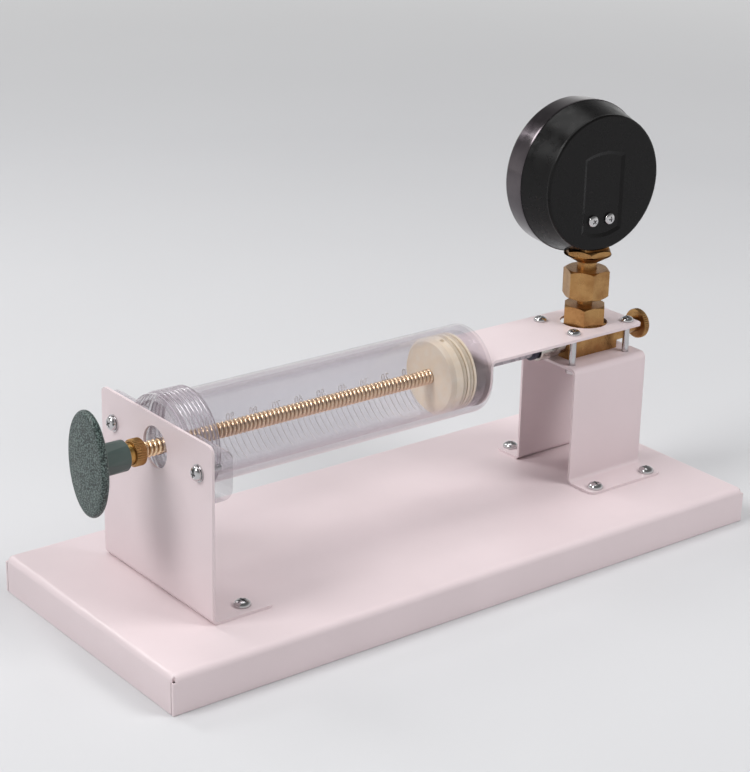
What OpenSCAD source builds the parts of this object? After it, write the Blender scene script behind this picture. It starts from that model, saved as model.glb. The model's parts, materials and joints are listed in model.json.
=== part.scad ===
// Apparatus for Boyle's law: a clear gas cylinder on a folded tray, a piston drawn by a lead screw,
// and a hose to a brass manifold that carries a vent valve and a dial pressure gauge.
// Millimetres, +Z up. The origin is the centre of the tray's bottom edge.
// +X runs from the hand knob to the gauge, and the gauge's dial looks towards +Y.

/* [Base tray] */
// length of the tray along X
tray_l = 300; // [290:2:340]
// width of the tray along Y
tray_w = 126; // [110:2:150]
// height of the folded edge
tray_h = 16; // [12:1:24]
// thickness of the folded sheet, used for every sheet piece
sheet_t = 1.2; // [1:0.1:1.5]
// inside radius of each fold
bend_r = 1.5; // [1:0.1:2]
// radius of the free corners of a sheet leaf
leaf_r = 3; // [2:0.5:4]
// gap at the tray's open corner seams
seam = 0.4; // [0.2:0.1:0.8]
// diameter of the relief hole where two folds meet at a corner
relief_d = 1.2; // [0.8:0.1:1.6]

/* [Supports] */
// distance of the cylinder's axis from the tray's middle line
axis_y = 1.5; // [-4:0.5:4]
// X of the knob-end bracket's outer face
bracket_x = -116; // [-120:0.5:-112]
// width of the knob-end bracket
bracket_w = 79; // [78:1:84]
// height of the knob-end bracket's top edge
bracket_top = 89.5; // [88:0.5:96]
// length of the knob-end bracket's foot
bracket_foot = 29; // [24:1:34]
// diameter of the bracket's window for the screw
bracket_hole = 17; // [14:0.5:20]
// X of the gauge, the manifold and the stand
block_x = 109; // [106:0.5:112]
// height of the gauge stand's top face
stand_top = 70; // [64:1:76]
// length of the gauge stand along X
stand_l = 42.5; // [40:0.5:46]
// width of the gauge stand's arch
stand_w = 35; // [32:0.5:38]
// length of each turned-out foot
stand_foot = 15; // [13:0.5:18]
// width of the bridge plate
bridge_w = 34; // [30:0.5:36]
// length of the bridge plate past the middle of the manifold
bridge_over = 19; // [18:0.5:22]

/* [Cylinder and piston] */
// outside diameter of the clear cylinder
barrel_d = 38.5; // [37.5:0.1:40]
// bore of the clear cylinder
bore_d = 33.5; // [32:0.1:34.5]
// length of the clear cylinder
barrel_l = 143.6; // [130:0.2:146]
// outside diameter of the front cap's ribs
cap_d = 42.5; // [42:0.1:44]
// length of the front cap
cap_l = 15.4; // [14:0.1:18]
// thickness of the cap's end wall, which carries the screw's thread
cap_wall = 4; // [3:0.5:5]
// depth of the recess in the cap's outer face
cap_recess = 4; // [3:0.5:5]
// pitch of the cap's ribs
rib_pitch = 1.8; // [1.6:0.1:2.4]
// distance of a lug's tip from the axis
lug_reach = 38.5; // [37.5:0.5:42]
// thickness of the lugs along the axis
lug_t = 8.8; // [7:0.2:9.2]
// height of the lugs
lug_h = 20; // [16:1:24]
// distance of each lug screw from the axis
lug_screw_y = 30.5; // [29:0.5:32]
// thickness of the end plug's rim
plug_t = 2.5; // [2.4:0.1:4]
// depth of the end plug's spigot in the bore
plug_spigot = 4; // [2:0.1:5]
// length of the piston
piston_l = 12.5; // [12.5:0.5:16]
// gap between the piston and the end plug
piston_gap = 0.8; // [0.4:0.1:2]
// cord diameter of the piston's ring seals
ring_cord = 2.4; // [2:0.1:2.6]
// diameter of the lead screw
screw_d = 6.5; // [6:0.1:7]
// diameter of the two pins that keep the screw in the piston
pin_d = 2; // [1.6:0.1:2.2]
// length of the oval hand knob
knob_d = 43; // [38:1:48]
// width of the oval hand knob
knob_w = 26; // [24:1:38]
// thickness of the hand knob's rim
knob_rim = 3.4; // [3:0.2:5]
// length of the knob's hub
hub_l = 13.7; // [13:0.1:18]
// diameter of the knob's hub
hub_d = 12.8; // [12.4:0.1:14]
// diameter of the lock nut
lock_d = 11; // [10:0.1:12]
// gap between the lock nut and the bracket
lock_gap = 6.4; // [2:0.2:8]

/* [Manifold and hose] */
// length of the brass manifold block
block_l = 29; // [28.5:0.5:30]
// width of the manifold block
block_w = 11; // [11:0.5:14]
// height of the manifold block
block_h = 13; // [12:0.5:15]
// diameter of the manifold's air passage
gallery_d = 3; // [2:0.2:3.4]
// diameter of the manifold's end ports
port_d = 8; // [7:0.2:8.4]
// depth of the manifold's ports
port_depth = 6; // [5:0.5:6.5]
// outside diameter of the air hose
hose_d = 6; // [5.6:0.1:6.2]
// bore of the air hose
hose_bore = 4; // [3.6:0.1:4.2]
// length of the hose fitting's knurled body
fitting_l = 11; // [10.5:0.5:13]
// diameter of the hose fitting's body
fitting_d = 10.6; // [10:0.1:12]
// travel of the release ring into the fitting
ring_travel = 0.8; // [0.4:0.1:1]
// diameter of the vent screw's knurled disc
vent_d = 13.5; // [12:0.5:18]
// thickness of the vent screw's disc
vent_t = 3; // [2.5:0.5:5]
// diameter of the vent screw's thread
vent_stem = 5; // [4.6:0.1:5.2]

/* [Gauge and its neck] */
// distance of the gauge's neck and the clamp screws from the stand's middle, towards the knob
neck_shift = 1.3; // [0:0.1:2]
// turn of the gauge on its neck, in degrees
gauge_turn = 4; // [0:1:10]
// size across flats of the lower hexagon
lower_af = 17.5; // [16:0.5:18]
// height of the lower hexagon
lower_h = 9.5; // [8:0.5:12]
// size across flats of the coupling nut
union_af = 18; // [17:0.5:21]
// height of the coupling nut
union_h = 12.8; // [12:0.2:15]
// diameter of the gauge's threaded spigot
spigot_d = 8.8; // [7:0.2:9]
// size across flats of the gauge's own hexagon
upper_af = 18.5; // [18:0.5:20]
// radius of the gauge's bezel
bezel_r = 33.8; // [33.4:0.1:36]
// depth of the case behind the neck's axis
case_back = 8.2; // [7.4:0.1:9]
// depth of the case in front of the neck's axis
case_front = 6.8; // [6.8:0.1:8]
// depth of the bezel
bezel_depth = 12; // [11:0.5:14]
// thickness of the case wall
case_t = 1.5; // [1.2:0.1:1.6]
// width of the panel stamped into the back of the case
panel_w = 22; // [20:1:24]
// depth of the stamped panel
panel_d = 0.7; // [0.4:0.1:0.9]
// pointer length from its pivot
pointer_l = 23; // [18:0.5:25]

/* [Gauge movement] */
// module of the gauge's gear teeth
gear_module = 0.35; // [0.34:0.01:0.36]
// teeth on the pinion
pinion_teeth = 12; // [12:6:12]
// teeth that the sector would have as a full wheel
sector_teeth = 72; // [72:6:72]
// mean radius of the curved pressure tube
tube_r = 21.5; // [21.4:0.1:22]
// angle of the pressure tube's coil, in degrees
tube_sweep = 240; // [225:5:245]
// thickness of the pressure tube's flattened section
tube_t = 2.6; // [2.2:0.1:2.6]
// width of the pressure tube's flattened section
tube_w = 8; // [7:0.5:8]

/* [Screws] */
// thread diameter of the larger screws
big_screw = 4; // [3.5:0.5:4]
// thread diameter of the clamp screws and of the cap's screws
small_screw = 3; // [2.5:0.5:3]
// length of the foot screws under the head
foot_screw_l = 8; // [7:0.5:9]
// spacing of the stand's foot screws along X
foot_pitch_x = 31.2; // [30:0.2:32]
// spacing of the clamp screws along X
clamp_pitch_x = 32; // [32:0.5:33]
// spacing of the clamp screws along Y
clamp_pitch_y = 22; // [20:0.5:23]

/* [Hidden] */
$fn = 72;

// clearances: radial fit of one piece in another, and the small gap that parts moving pieces
fit = 0.05;
clear = 0.3;

coat = [0.92, 0.90, 0.89];
zinc = [0.80, 0.81, 0.82];
nickel = [0.68, 0.68, 0.66];
satin_brass = [0.62, 0.52, 0.34];
gold_brass = [0.83, 0.66, 0.30];
acrylic = [0.90, 0.93, 0.93, 0.35];
nylon = [0.90, 0.87, 0.76];
knob_green = [0.20, 0.24, 0.22];
gauge_black = [0.06, 0.06, 0.06];
ring_navy = [0.10, 0.13, 0.22];
hose_grey = [0.55, 0.58, 0.60, 0.8];
dial_white = [0.95, 0.95, 0.93];
rubber_black = [0.08, 0.08, 0.08];
ivory = [0.85, 0.82, 0.72];

bend_o = bend_r + sheet_t;
washer_t = 0.6;
axis_z = stand_top + block_h / 2;
barrel_r = barrel_d / 2;
bore_r = bore_d / 2;
screw_r = screw_d / 2;
// stations along X from the bracket to the flange
cap_x = bracket_x + sheet_t;
wall_x = cap_x + cap_recess;
barrel_x = wall_x + cap_wall;
barrel_end = barrel_x + barrel_l;
plug_end = barrel_end + plug_t;
flange_end = plug_end + sheet_t;
spigot_x = barrel_end - plug_spigot;
piston_end = spigot_x - piston_gap;
piston_x = piston_end - piston_l;
// stations from the bracket outwards to the knob
lock_x = bracket_x - lock_gap;
lock_t = 4.7;
insert_x = lock_x - lock_t;
insert_t = 2.8;
hub_end = insert_x - insert_t;
knob_x = hub_end - hub_l;
// the screw's journal in the piston
journal_end = piston_x + 8;
groove_w = pin_d + 0.2;
groove_x = piston_x + 2.6;
groove_r = screw_r - 1;
pin_x = groove_x + groove_w / 2;
pin_y = groove_r + fit + pin_d / 2;
pin_l = 2 * bore_r - 4.5;
// stations from the flange to the manifold
nipple_hex_end = flange_end + 3;
tail_end = nipple_hex_end + 9.5;
block_x0 = block_x - block_l / 2;
block_x1 = block_x + block_l / 2;
neck_x = block_x - neck_shift;
fitting_neck = 4.5;
fitting_x1 = block_x0 - fitting_neck;
fitting_x0 = fitting_x1 - fitting_l;
hose_x0 = nipple_hex_end + 0.3;
hose_x1 = fitting_x0 + 8;
hose_r = hose_d / 2;
ring_r = hose_r + 0.1;
ring_sleeve_r = ring_r + 0.45;
ring_lip_r = ring_sleeve_r + 0.35;
chamber_r = ring_lip_r + 0.1;
chamber_x = fitting_x0 + 1.5;
valve_hex_end = block_x1 + 6;
valve_end = valve_hex_end + 3;
seat_x = block_x1 - 2.5;
stem_r = vent_stem / 2;
vent_hub_x = valve_end + 1;
vent_x = vent_hub_x + 6.5;
// heights of the gauge's neck
bridge_z = stand_top + block_h;
bridge_top = bridge_z + sheet_t;
lower_top = bridge_z + lower_h;
union_z = lower_top + 3.6;
union_top = union_z + union_h;
stem_top = union_top + 3.5;
cone_top = stem_top + 3.2;
hex_top = cone_top + 2.8;
back_r = bezel_r - 3.7;
gauge_z = hex_top + back_r + 0.5;
spigot_r = spigot_d / 2;
neck_r = 3.4;
collar_z = union_z + 2.5;
collar_top = collar_z + 2;
washer_top = collar_top + 1;
collar_r = spigot_r - 0.2;
cone_r = upper_af / 2 / cos(30) - 0.2;
// depths and radii in the gauge, from the neck's axis towards the dial
rim_r = bezel_r - 2.6;
cavity_r = bezel_r - 4.4;
dial_r = cavity_r - 0.4;
dial_z = case_front + 3;
dial_t = 0.6;
window_r = bezel_r - 2.8;
window_t = 2;
bezel_end = case_front + bezel_depth;
window_z = bezel_end - 1.5 - window_t;
gasket_t = 0.7;
pointer_z = dial_z + dial_t + 1.1;
plate_t = 1;
front_z = 6;
pinion_r = gear_module * pinion_teeth / 2;
sector_r = gear_module * sector_teeth / 2;
gear_gap = pinion_r + sector_r;
tooth_step = 360 / sector_teeth;
shank_w = 13;
shank_top = -21;
screw_plane = -16.3;
foot_row = screw_plane - 2.3;
tube_start = -74;
tube_end = tube_start + tube_sweep;
tip_pin = turned([tube_r, 2], tube_end);
tail_pin = turned([9, 0], 165) + [0, -gear_gap];
stud_a = 5.35;
dial_post = [6.5, -8];
pillar_at = [[8, 3.5], [-8, 3.5], [6.5, -16.5]];
foot_at = [for (x = [-1, 1], y = [-1, 1]) [block_x + x * foot_pitch_x / 2, axis_y + y * (stand_w / 2 + stand_foot - 4)]];
clamp_at = [for (x = [-1, 1], y = [-1, 1]) [neck_x + x * clamp_pitch_x / 2, axis_y + y * clamp_pitch_y / 2]];
bracket_at = [for (y = [-1, 1]) [bracket_x + 18, axis_y + y * (bracket_w / 2 - 6.5)]];
big_head = [big_screw * 0.87, big_screw * 0.62];
small_head = [small_screw * 1.01, small_screw * 0.72];

function turned(p, a) = [p[0] * cos(a) - p[1] * sin(a), p[0] * sin(a) + p[1] * cos(a)];
function rad(a) = a * PI / 180;
function inv(a) = tan(a) - rad(a);

// ---- shapes that repeat ----

// turned piece about the cylinder's axis, from points of radius and X
module turned_x(profile) {
    translate([0, axis_y, axis_z])
        rotate([0, 90, 0])
            rotate_extrude() polygon(profile);
}

// round bar or round cut about the cylinder's axis
module bar_x(x0, x1, r) {
    translate([x0, axis_y, axis_z])
        rotate([0, 90, 0])
            cylinder(h = x1 - x0, r = r);
}

// hexagon bar about the cylinder's axis, with both ends chamfered
module hex_x(x0, x1, af) {
    corner = af / 2 / cos(30);
    bevel = (corner - af / 2) * 0.6;
    intersection() {
        translate([x0, axis_y, axis_z])
            rotate([0, 90, 0])
                cylinder(h = x1 - x0, r = corner, $fn = 6);
        turned_x([[0, x0], [af / 2, x0], [corner, x0 + bevel], [corner, x1 - bevel], [af / 2, x1], [0, x1]]);
    }
}

// turned piece about the gauge's neck, from points of radius and Z
module turned_z(profile) {
    translate([neck_x, axis_y, 0]) rotate_extrude() polygon(profile);
}

// upright hexagon about the gauge's neck, with both ends chamfered
module hex_z(z0, z1, af, turn) {
    corner = af / 2 / cos(30);
    bevel = (corner - af / 2) * 0.6;
    intersection() {
        translate([neck_x, axis_y, z0])
            rotate([0, 0, turn])
                cylinder(h = z1 - z0, r = corner, $fn = 6);
        turned_z([[0, z0], [af / 2, z0], [corner, z0 + bevel], [corner, z1 - bevel], [af / 2, z1], [0, z1]]);
    }
}

// quarter of a fold's section, with its centre at the origin and the sheet up and to the left
module bend_2d() {
    intersection() {
        difference() {
            circle(bend_o);
            circle(bend_r);
        }
        translate([-bend_o, 0]) square(bend_o);
    }
}

// sheet leaf that starts at the fold and ends with rounded corners
module leaf_2d(w, l) {
    translate([-w / 2, 0]) square([w, l - leaf_r]);
    translate([-w / 2 + leaf_r, 0]) square([w - 2 * leaf_r, l]);
    for (side = [-1, 1])
        translate([side * (w / 2 - leaf_r), l - leaf_r]) circle(leaf_r);
}

// pan-head screw, with the underside of its head at z = 0 and its shank below
module pan_screw(head, thread, length) {
    edge = head[1] * 0.5;
    tip = thread * 0.12;
    rotate_extrude() {
        square([head[0] - edge, head[1]]);
        square([head[0], head[1] - edge]);
        translate([head[0] - edge, head[1] - edge]) circle(edge);
    }
    translate([0, 0, tip - length]) cylinder(h = length - tip, r = thread / 2);
    translate([0, 0, -length]) cylinder(h = tip, r1 = thread / 2 - tip, r2 = thread / 2);
}

// hexagon nut that rests on z = 0 and hangs below it
module hex_nut(thread) {
    af = thread * 1.76;
    corner = af / 2 / cos(30);
    h = thread * 0.8;
    difference() {
        intersection() {
            translate([0, 0, -h]) cylinder(h = h, r = corner, $fn = 6);
            rotate_extrude()
                polygon([[0, -h], [af / 2, -h], [corner, -h + 0.3], [corner, -0.3], [af / 2, 0], [0, 0]]);
        }
        translate([0, 0, -h - 1]) cylinder(h = h + 2, r = thread / 2 + fit);
    }
}

// upright holes through a sheet
module holes_z(at, z, thread) {
    for (p = at)
        translate([p[0], p[1], z - 1]) cylinder(h = sheet_t + 2, r = thread / 2 + 0.15);
}

// one folded wall of the tray, with its outer face at y = -reach
module tray_wall(reach, fold_span, wall_span) {
    translate([-fold_span / 2, -reach + bend_o, tray_h - bend_o])
        rotate([90, 0, 90])
            linear_extrude(fold_span) bend_2d();
    translate([-wall_span / 2, -reach, 0]) cube([wall_span, sheet_t, tray_h - bend_o]);
}

// frame of the gauge: x along the dial, y up, z out of the dial, with 0 on the neck's axis
module gauge_frame() {
    translate([neck_x, axis_y, gauge_z])
        rotate([0, 0, -gauge_turn])
            rotate([-90, 0, 0])
                mirror([0, 1, 0]) children();
}

// flat piece of the movement between two depths
module flat(z0, z1) {
    translate([0, 0, z0]) linear_extrude(z1 - z0) children();
}

// ring seal about the cylinder's axis, from the radius of its outer edge
module ring_seal(x, outer_r, cord) {
    translate([x, axis_y, axis_z])
        rotate([0, 90, 0])
            rotate_extrude() translate([outer_r - cord / 2, 0]) circle(cord / 2, $fn = 36);
}

// involute gear tooth that points along +X
module tooth(pitch_r, add, ded) {
    angle = 25;
    base_r = pitch_r * cos(angle);
    root_r = pitch_r - ded;
    low_r = max(base_r, root_r);
    half = (PI * gear_module / 2 - 0.1) / 2 / pitch_r * 180 / PI;
    steps = [for (i = [0 : 4]) low_r + (pitch_r + add - low_r) * i / 4];
    flank = [for (r = steps) [r, half + (inv(angle) - inv(acos(min(1, base_r / r)))) * 180 / PI]];
    start = [root_r - 0.2, flank[0][1]];
    side = concat([start], flank);
    polygon(concat(
        [for (q = side) [q[0] * cos(q[1]), -q[0] * sin(q[1])]],
        [for (i = [len(side) - 1 : -1 : 0]) [side[i][0] * cos(side[i][1]), side[i][0] * sin(side[i][1])]]));
}

// outline that both movement plates share
module plate_2d() {
    low = -22;
    high = 6;
    half_w = 10;
    intersection() {
        circle(19.3);
        union() {
            translate([-half_w, low]) square([2 * half_w, high - low - 2]);
            translate([-half_w + 2, low]) square([2 * half_w - 4, high - low]);
            for (side = [-1, 1])
                translate([side * (half_w - 2), high - 2]) circle(2);
        }
    }
}

// ---- tray and supports ----

// rounded corner between two folded walls of the tray
module tray_corner() {
    translate([tray_l / 2 - bend_o, tray_w / 2 - bend_o, tray_h - bend_o])
        rotate_extrude(angle = 90) mirror([1, 0, 0]) bend_2d();
}

module base_tray() {
    relief_in = bend_o * 0.4;
    color(coat) difference() {
        union() {
            translate([-tray_l / 2 + bend_o, -tray_w / 2 + bend_o, tray_h - sheet_t])
                cube([tray_l - 2 * bend_o, tray_w - 2 * bend_o, sheet_t]);
            for (side = [0, 1])
                mirror([0, side, 0]) tray_wall(tray_w / 2, tray_l - 2 * bend_o, tray_l);
            for (side = [0, 1])
                mirror([side, 0, 0])
                    rotate([0, 0, -90])
                        tray_wall(tray_l / 2, tray_w - 2 * bend_o, tray_w - 2 * sheet_t - 2 * seam);
            for (x = [0, 1], y = [0, 1])
                mirror([x, 0, 0]) mirror([0, y, 0]) tray_corner();
        }
        for (x = [-1, 1], y = [-1, 1])
            translate([x * (tray_l / 2 - relief_in), y * (tray_w / 2 - relief_in), tray_h - bend_o - 1])
                cylinder(h = bend_o + 2, r = relief_d / 2);
        holes_z(concat(bracket_at, foot_at), tray_h - sheet_t, big_screw);
    }
}

module end_bracket() {
    color(coat) difference() {
        union() {
            translate([bracket_x, axis_y, tray_h + bend_o])
                rotate([90, 0, 90])
                    linear_extrude(sheet_t) leaf_2d(bracket_w, bracket_top - tray_h - bend_o);
            translate([bracket_x + bend_o, axis_y, tray_h])
                rotate([0, 0, -90])
                    linear_extrude(sheet_t) leaf_2d(bracket_w, bracket_foot - bend_o);
            translate([bracket_x + bend_o, axis_y + bracket_w / 2, tray_h + bend_o])
                rotate([90, 0, 0])
                    linear_extrude(bracket_w) mirror([0, 1, 0]) bend_2d();
        }
        bar_x(bracket_x - 1, cap_x + 1, bracket_hole / 2);
        holes_z(bracket_at, tray_h, big_screw);
        for (side = [-1, 1])
            translate([0, side * lug_screw_y, 0]) bar_x(bracket_x - 1, cap_x + 1, small_screw / 2 + 0.15);
    }
}

module bracket_screws() {
    color(zinc)
        for (p = bracket_at)
            translate([p[0], p[1], tray_h + sheet_t]) pan_screw(big_head, big_screw, foot_screw_l);
}

module bracket_nuts() {
    color(zinc)
        for (p = bracket_at)
            translate([p[0], p[1], tray_h - sheet_t]) hex_nut(big_screw);
}

module cap_screws() {
    color(zinc)
        for (side = [-1, 1])
            translate([bracket_x - washer_t, axis_y + side * lug_screw_y, axis_z])
                rotate([0, -90, 0]) pan_screw(small_head, small_screw, washer_t + sheet_t + lug_t);
}

module cap_washers() {
    color(zinc)
        for (side = [-1, 1])
            translate([bracket_x - washer_t, axis_y + side * lug_screw_y, axis_z])
                rotate([0, 90, 0]) difference() {
                    cylinder(h = washer_t, r = small_screw * 1.17);
                    translate([0, 0, -1]) cylinder(h = 3, r = small_screw / 2 + 0.15);
                }
}

module gauge_stand() {
    color(coat) difference() {
        union() {
            translate([block_x - stand_l / 2, axis_y, 0])
                rotate([90, 0, 90])
                    linear_extrude(stand_l)
                        for (side = [0, 1])
                            mirror([side, 0, 0]) {
                                translate([0, stand_top - sheet_t]) square([stand_w / 2 - bend_o, sheet_t]);
                                translate([stand_w / 2 - bend_o, stand_top - bend_o]) mirror([1, 0, 0]) bend_2d();
                                translate([stand_w / 2 - sheet_t, tray_h + bend_o])
                                    square([sheet_t, stand_top - tray_h - 2 * bend_o]);
                                translate([stand_w / 2 + bend_r, tray_h + bend_o]) mirror([0, 1, 0]) bend_2d();
                            }
            for (side = [0, 1])
                translate([block_x, axis_y, tray_h])
                    rotate([0, 0, 180 * side])
                        translate([0, stand_w / 2 + bend_r, 0])
                            linear_extrude(sheet_t) leaf_2d(stand_l, stand_foot - bend_r);
        }
        holes_z(foot_at, tray_h, big_screw);
        holes_z(clamp_at, stand_top - sheet_t, small_screw);
    }
}

module stand_screws() {
    color(zinc)
        for (p = foot_at)
            translate([p[0], p[1], tray_h + sheet_t]) pan_screw(big_head, big_screw, foot_screw_l);
}

module stand_nuts() {
    color(zinc)
        for (p = foot_at)
            translate([p[0], p[1], tray_h - sheet_t]) hex_nut(big_screw);
}

module bridge_plate() {
    top_l = block_x + bridge_over - plug_end - bend_o;
    color(coat) difference() {
        union() {
            translate([plug_end + bend_o, axis_y, bridge_z])
                rotate([0, 0, -90])
                    linear_extrude(sheet_t) leaf_2d(bridge_w, top_l);
            translate([plug_end + bend_o, axis_y + bridge_w / 2, bridge_top - bend_o])
                rotate([90, 0, 0])
                    linear_extrude(bridge_w) bend_2d();
            translate([plug_end, axis_y, axis_z])
                rotate([90, 0, 90])
                    linear_extrude(sheet_t) intersection() {
                        union() {
                            circle(bridge_w / 2);
                            translate([-bridge_w / 2, 0]) square([bridge_w, bridge_w / 2]);
                        }
                        translate([-bridge_w / 2, -bridge_w / 2])
                            square([bridge_w, bridge_w / 2 + bridge_top - bend_o - axis_z]);
                    }
        }
        bar_x(plug_end - 1, flange_end + 1, 3.2);
        translate([neck_x, axis_y, bridge_z - 1]) cylinder(h = sheet_t + 2, r = lower_af / 2 / cos(30) + 0.4);
        holes_z(clamp_at, bridge_z, small_screw);
    }
}

module bridge_screws() {
    color(zinc)
        for (p = clamp_at)
            translate([p[0], p[1], bridge_top]) pan_screw(small_head, small_screw, block_h + 2 * sheet_t + 3.4);
}

module bridge_nuts() {
    color(zinc)
        for (p = clamp_at)
            translate([p[0], p[1], stand_top - sheet_t]) hex_nut(small_screw);
}

// ---- cylinder ----

module barrel() {
    color(acrylic)
        turned_x([[bore_r, barrel_x], [barrel_r, barrel_x], [barrel_r, barrel_end], [bore_r, barrel_end]]);
}

module barrel_cap() {
    rib_r = rib_pitch * 0.62;
    ribs = floor((cap_l - 2) / rib_pitch);
    band = cap_l - ribs * rib_pitch;
    round = 4;
    color(acrylic) difference() {
        union() {
            translate([0, axis_y, axis_z])
                rotate([0, 90, 0])
                    rotate_extrude() {
                        translate([0, cap_x]) square([cap_d / 2 - rib_r, cap_l]);
                        translate([0, cap_x]) square([cap_d / 2 - rib_r / 2, band - rib_r / 2]);
                        translate([cap_d / 2 - rib_r, cap_x]) square([rib_r / 4, band]);
                        translate([cap_d / 2 - rib_r, cap_x + band - rib_r / 2]) circle(rib_r / 2, $fn = 36);
                        for (i = [0 : ribs - 1])
                            translate([cap_d / 2 - rib_r, cap_x + cap_l - (i + 0.5) * rib_pitch])
                                intersection() {
                                    circle(rib_r, $fn = 36);
                                    square([3 * rib_r, rib_pitch], center = true);
                                }
                    }
            for (side = [0, 1])
                translate([cap_x, axis_y, axis_z])
                    mirror([0, side, 0])
                        translate([0, lug_reach, 0])
                            rotate([90, 0, 0])
                                linear_extrude(lug_reach - barrel_r + 1.2) {
                                    translate([0, -lug_h / 2]) square([lug_t - round, lug_h]);
                                    translate([0, round - lug_h / 2]) square([lug_t, lug_h - 2 * round]);
                                    for (end = [-1, 1])
                                        translate([lug_t - round, end * (lug_h / 2 - round)]) circle(round);
                                }
        }
        difference() {
            bar_x(cap_x - 1, wall_x, barrel_r - 1);
            bar_x(cap_x + 0.5, wall_x + 1, bracket_hole / 2 - 0.5);
        }
        bar_x(barrel_x, cap_x + cap_l + 1, barrel_r + fit);
        bar_x(cap_x - 1, barrel_x + 1, screw_r + fit);
        for (side = [-1, 1])
            translate([0, side * lug_screw_y, 0]) bar_x(cap_x - 1, cap_x + lug_t + 1, small_screw / 2 + fit);
    }
}

module end_plug() {
    edge = 1.2;
    color(acrylic) difference() {
        translate([0, axis_y, axis_z])
            rotate([0, 90, 0])
                rotate_extrude() {
                    translate([0, spigot_x]) square([bore_r - fit, plug_spigot]);
                    translate([0, barrel_end]) square([barrel_r, plug_t - edge]);
                    translate([0, barrel_end]) square([barrel_r - edge, plug_t]);
                    translate([barrel_r - edge, plug_end - edge]) circle(edge, $fn = 48);
                }
        bar_x(spigot_x - 1, plug_end + 1, 3.1 + fit);
        bar_x(plug_end - 1.5, plug_end + 1, 5);
    }
}

module outlet_nipple() {
    tail_r = hose_bore / 2 - fit;
    color(gold_brass) difference() {
        union() {
            hex_x(flange_end, nipple_hex_end, 9);
            bar_x(spigot_x + 0.7, flange_end + 0.5, 3.1);
            turned_x(concat(
                [[0, nipple_hex_end - 0.5], [tail_r - 0.2, nipple_hex_end - 0.5]],
                [for (i = [0 : 2]) each [
                    [tail_r - 0.2, nipple_hex_end + 1.5 + i * 2.4],
                    [tail_r, nipple_hex_end + 1.5 + i * 2.4],
                    [tail_r - 0.2, nipple_hex_end + 3.5 + i * 2.4]]],
                [[tail_r - 0.2, tail_end - 0.4], [tail_r - 0.5, tail_end], [0, tail_end]]));
        }
        bar_x(spigot_x - 1, tail_end + 1, 1.1);
    }
}

module nipple_seal() {
    color(rubber_black)
        turned_x([
            [3.1 + fit, plug_end - 1.5], [4.9, plug_end - 1.5], [4.9, plug_end], [3.1 + fit, plug_end]]);
}

module air_hose() {
    color(hose_grey)
        turned_x([
            [hose_bore / 2, hose_x0], [hose_r, hose_x0], [hose_r, hose_x1], [hose_bore / 2, hose_x1]]);
}

// ---- piston and screw ----

module piston() {
    lead = 1.6;
    seal_r = bore_r - 0.03 - ring_cord - 0.02;
    land = piston_end - 1.4;
    color(nylon) difference() {
        turned_x([
            [0, piston_x], [bore_r - fit - lead, piston_x], [bore_r - fit, piston_x + lead],
            [bore_r - fit, piston_end - 0.3], [bore_r - fit - 0.3, piston_end], [0, piston_end]]);
        for (x = [land - ring_cord / 2, land - ring_cord * 1.5 - 1.1])
            turned_x([
                [seal_r, x - ring_cord / 2 - 0.05], [bore_r + 1, x - ring_cord / 2 - 0.05],
                [bore_r + 1, x + ring_cord / 2 + 0.05], [seal_r, x + ring_cord / 2 + 0.05]]);
        bar_x(piston_x - 1, journal_end + clear, screw_r + fit);
        for (side = [-1, 1])
            translate([pin_x, axis_y + side * pin_y, axis_z - bore_r])
                cylinder(h = 2 * bore_r, r = pin_d / 2 + 0.02);
    }
}

module piston_seals() {
    land = piston_end - 1.4;
    color(ivory) {
        ring_seal(land - ring_cord / 2, bore_r - 0.03, ring_cord);
        ring_seal(land - ring_cord * 1.5 - 1.1, bore_r - 0.03, ring_cord);
    }
}

module swivel_pins() {
    color(zinc)
        for (side = [-1, 1])
            translate([pin_x, axis_y + side * pin_y, axis_z - pin_l / 2])
                cylinder(h = pin_l, r = pin_d / 2);
}

module lead_screw() {
    color(satin_brass)
        turned_x([
            [0, knob_x + 2.5], [screw_r - 0.6, knob_x + 2.5], [screw_r, knob_x + 3.1],
            [screw_r, groove_x], [groove_r, groove_x], [groove_r, groove_x + groove_w],
            [screw_r, groove_x + groove_w], [screw_r, journal_end - 0.8], [screw_r - 0.8, journal_end],
            [0, journal_end]]);
}

module hand_knob() {
    half = knob_rim / 2;
    flat_r = knob_d / 2 - half;
    crown = 0.5;
    color(knob_green) difference() {
        union() {
            translate([0, axis_y, axis_z])
                rotate([-2.5, 0, 0]) scale([1, knob_w / knob_d, 1]) rotate([0, 90, 0])
                    rotate_extrude() {
                        translate([0, knob_x - knob_rim]) square([flat_r, knob_rim]);
                        translate([flat_r, knob_x - half]) circle(half);
                        polygon([
                            [0, knob_x - half], [0, knob_x - knob_rim - crown],
                            [flat_r * 0.45, knob_x - knob_rim - crown * 0.8], [flat_r, knob_x - knob_rim], [flat_r, knob_x - half]]);
                    }
            intersection() {
                turned_x([
                    [0, knob_x - half], [hub_d / 2 + 1.2, knob_x - half], [hub_d / 2 + 1.2, knob_x],
                    [hub_d / 2 + 0.2, knob_x + 1.2], [hub_d / 2 - 0.2, hub_end - 0.4], [hub_d / 2 - 0.6, hub_end], [0, hub_end]]);
                translate([knob_x - half, axis_y, axis_z])
                    rotate([0, 90, 0]) cylinder(h = hub_l + half, r = hub_d / 2 * 1.04, $fn = 8);
            }
        }
        bar_x(knob_x + 2, hub_end + 1, 4.5 + fit);
        bar_x(knob_x + 1.5, hub_end + 1, screw_r + fit);
    }
}

module knob_insert() {
    color(gold_brass)
        turned_x([
            [screw_r + fit, knob_x + 2.4], [4.5, knob_x + 2.4], [4.5, hub_end], [5.4, hub_end],
            [5.7, hub_end + 0.3], [5.7, insert_x - 0.3], [5.4, insert_x], [screw_r + fit, insert_x]]);
}

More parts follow.
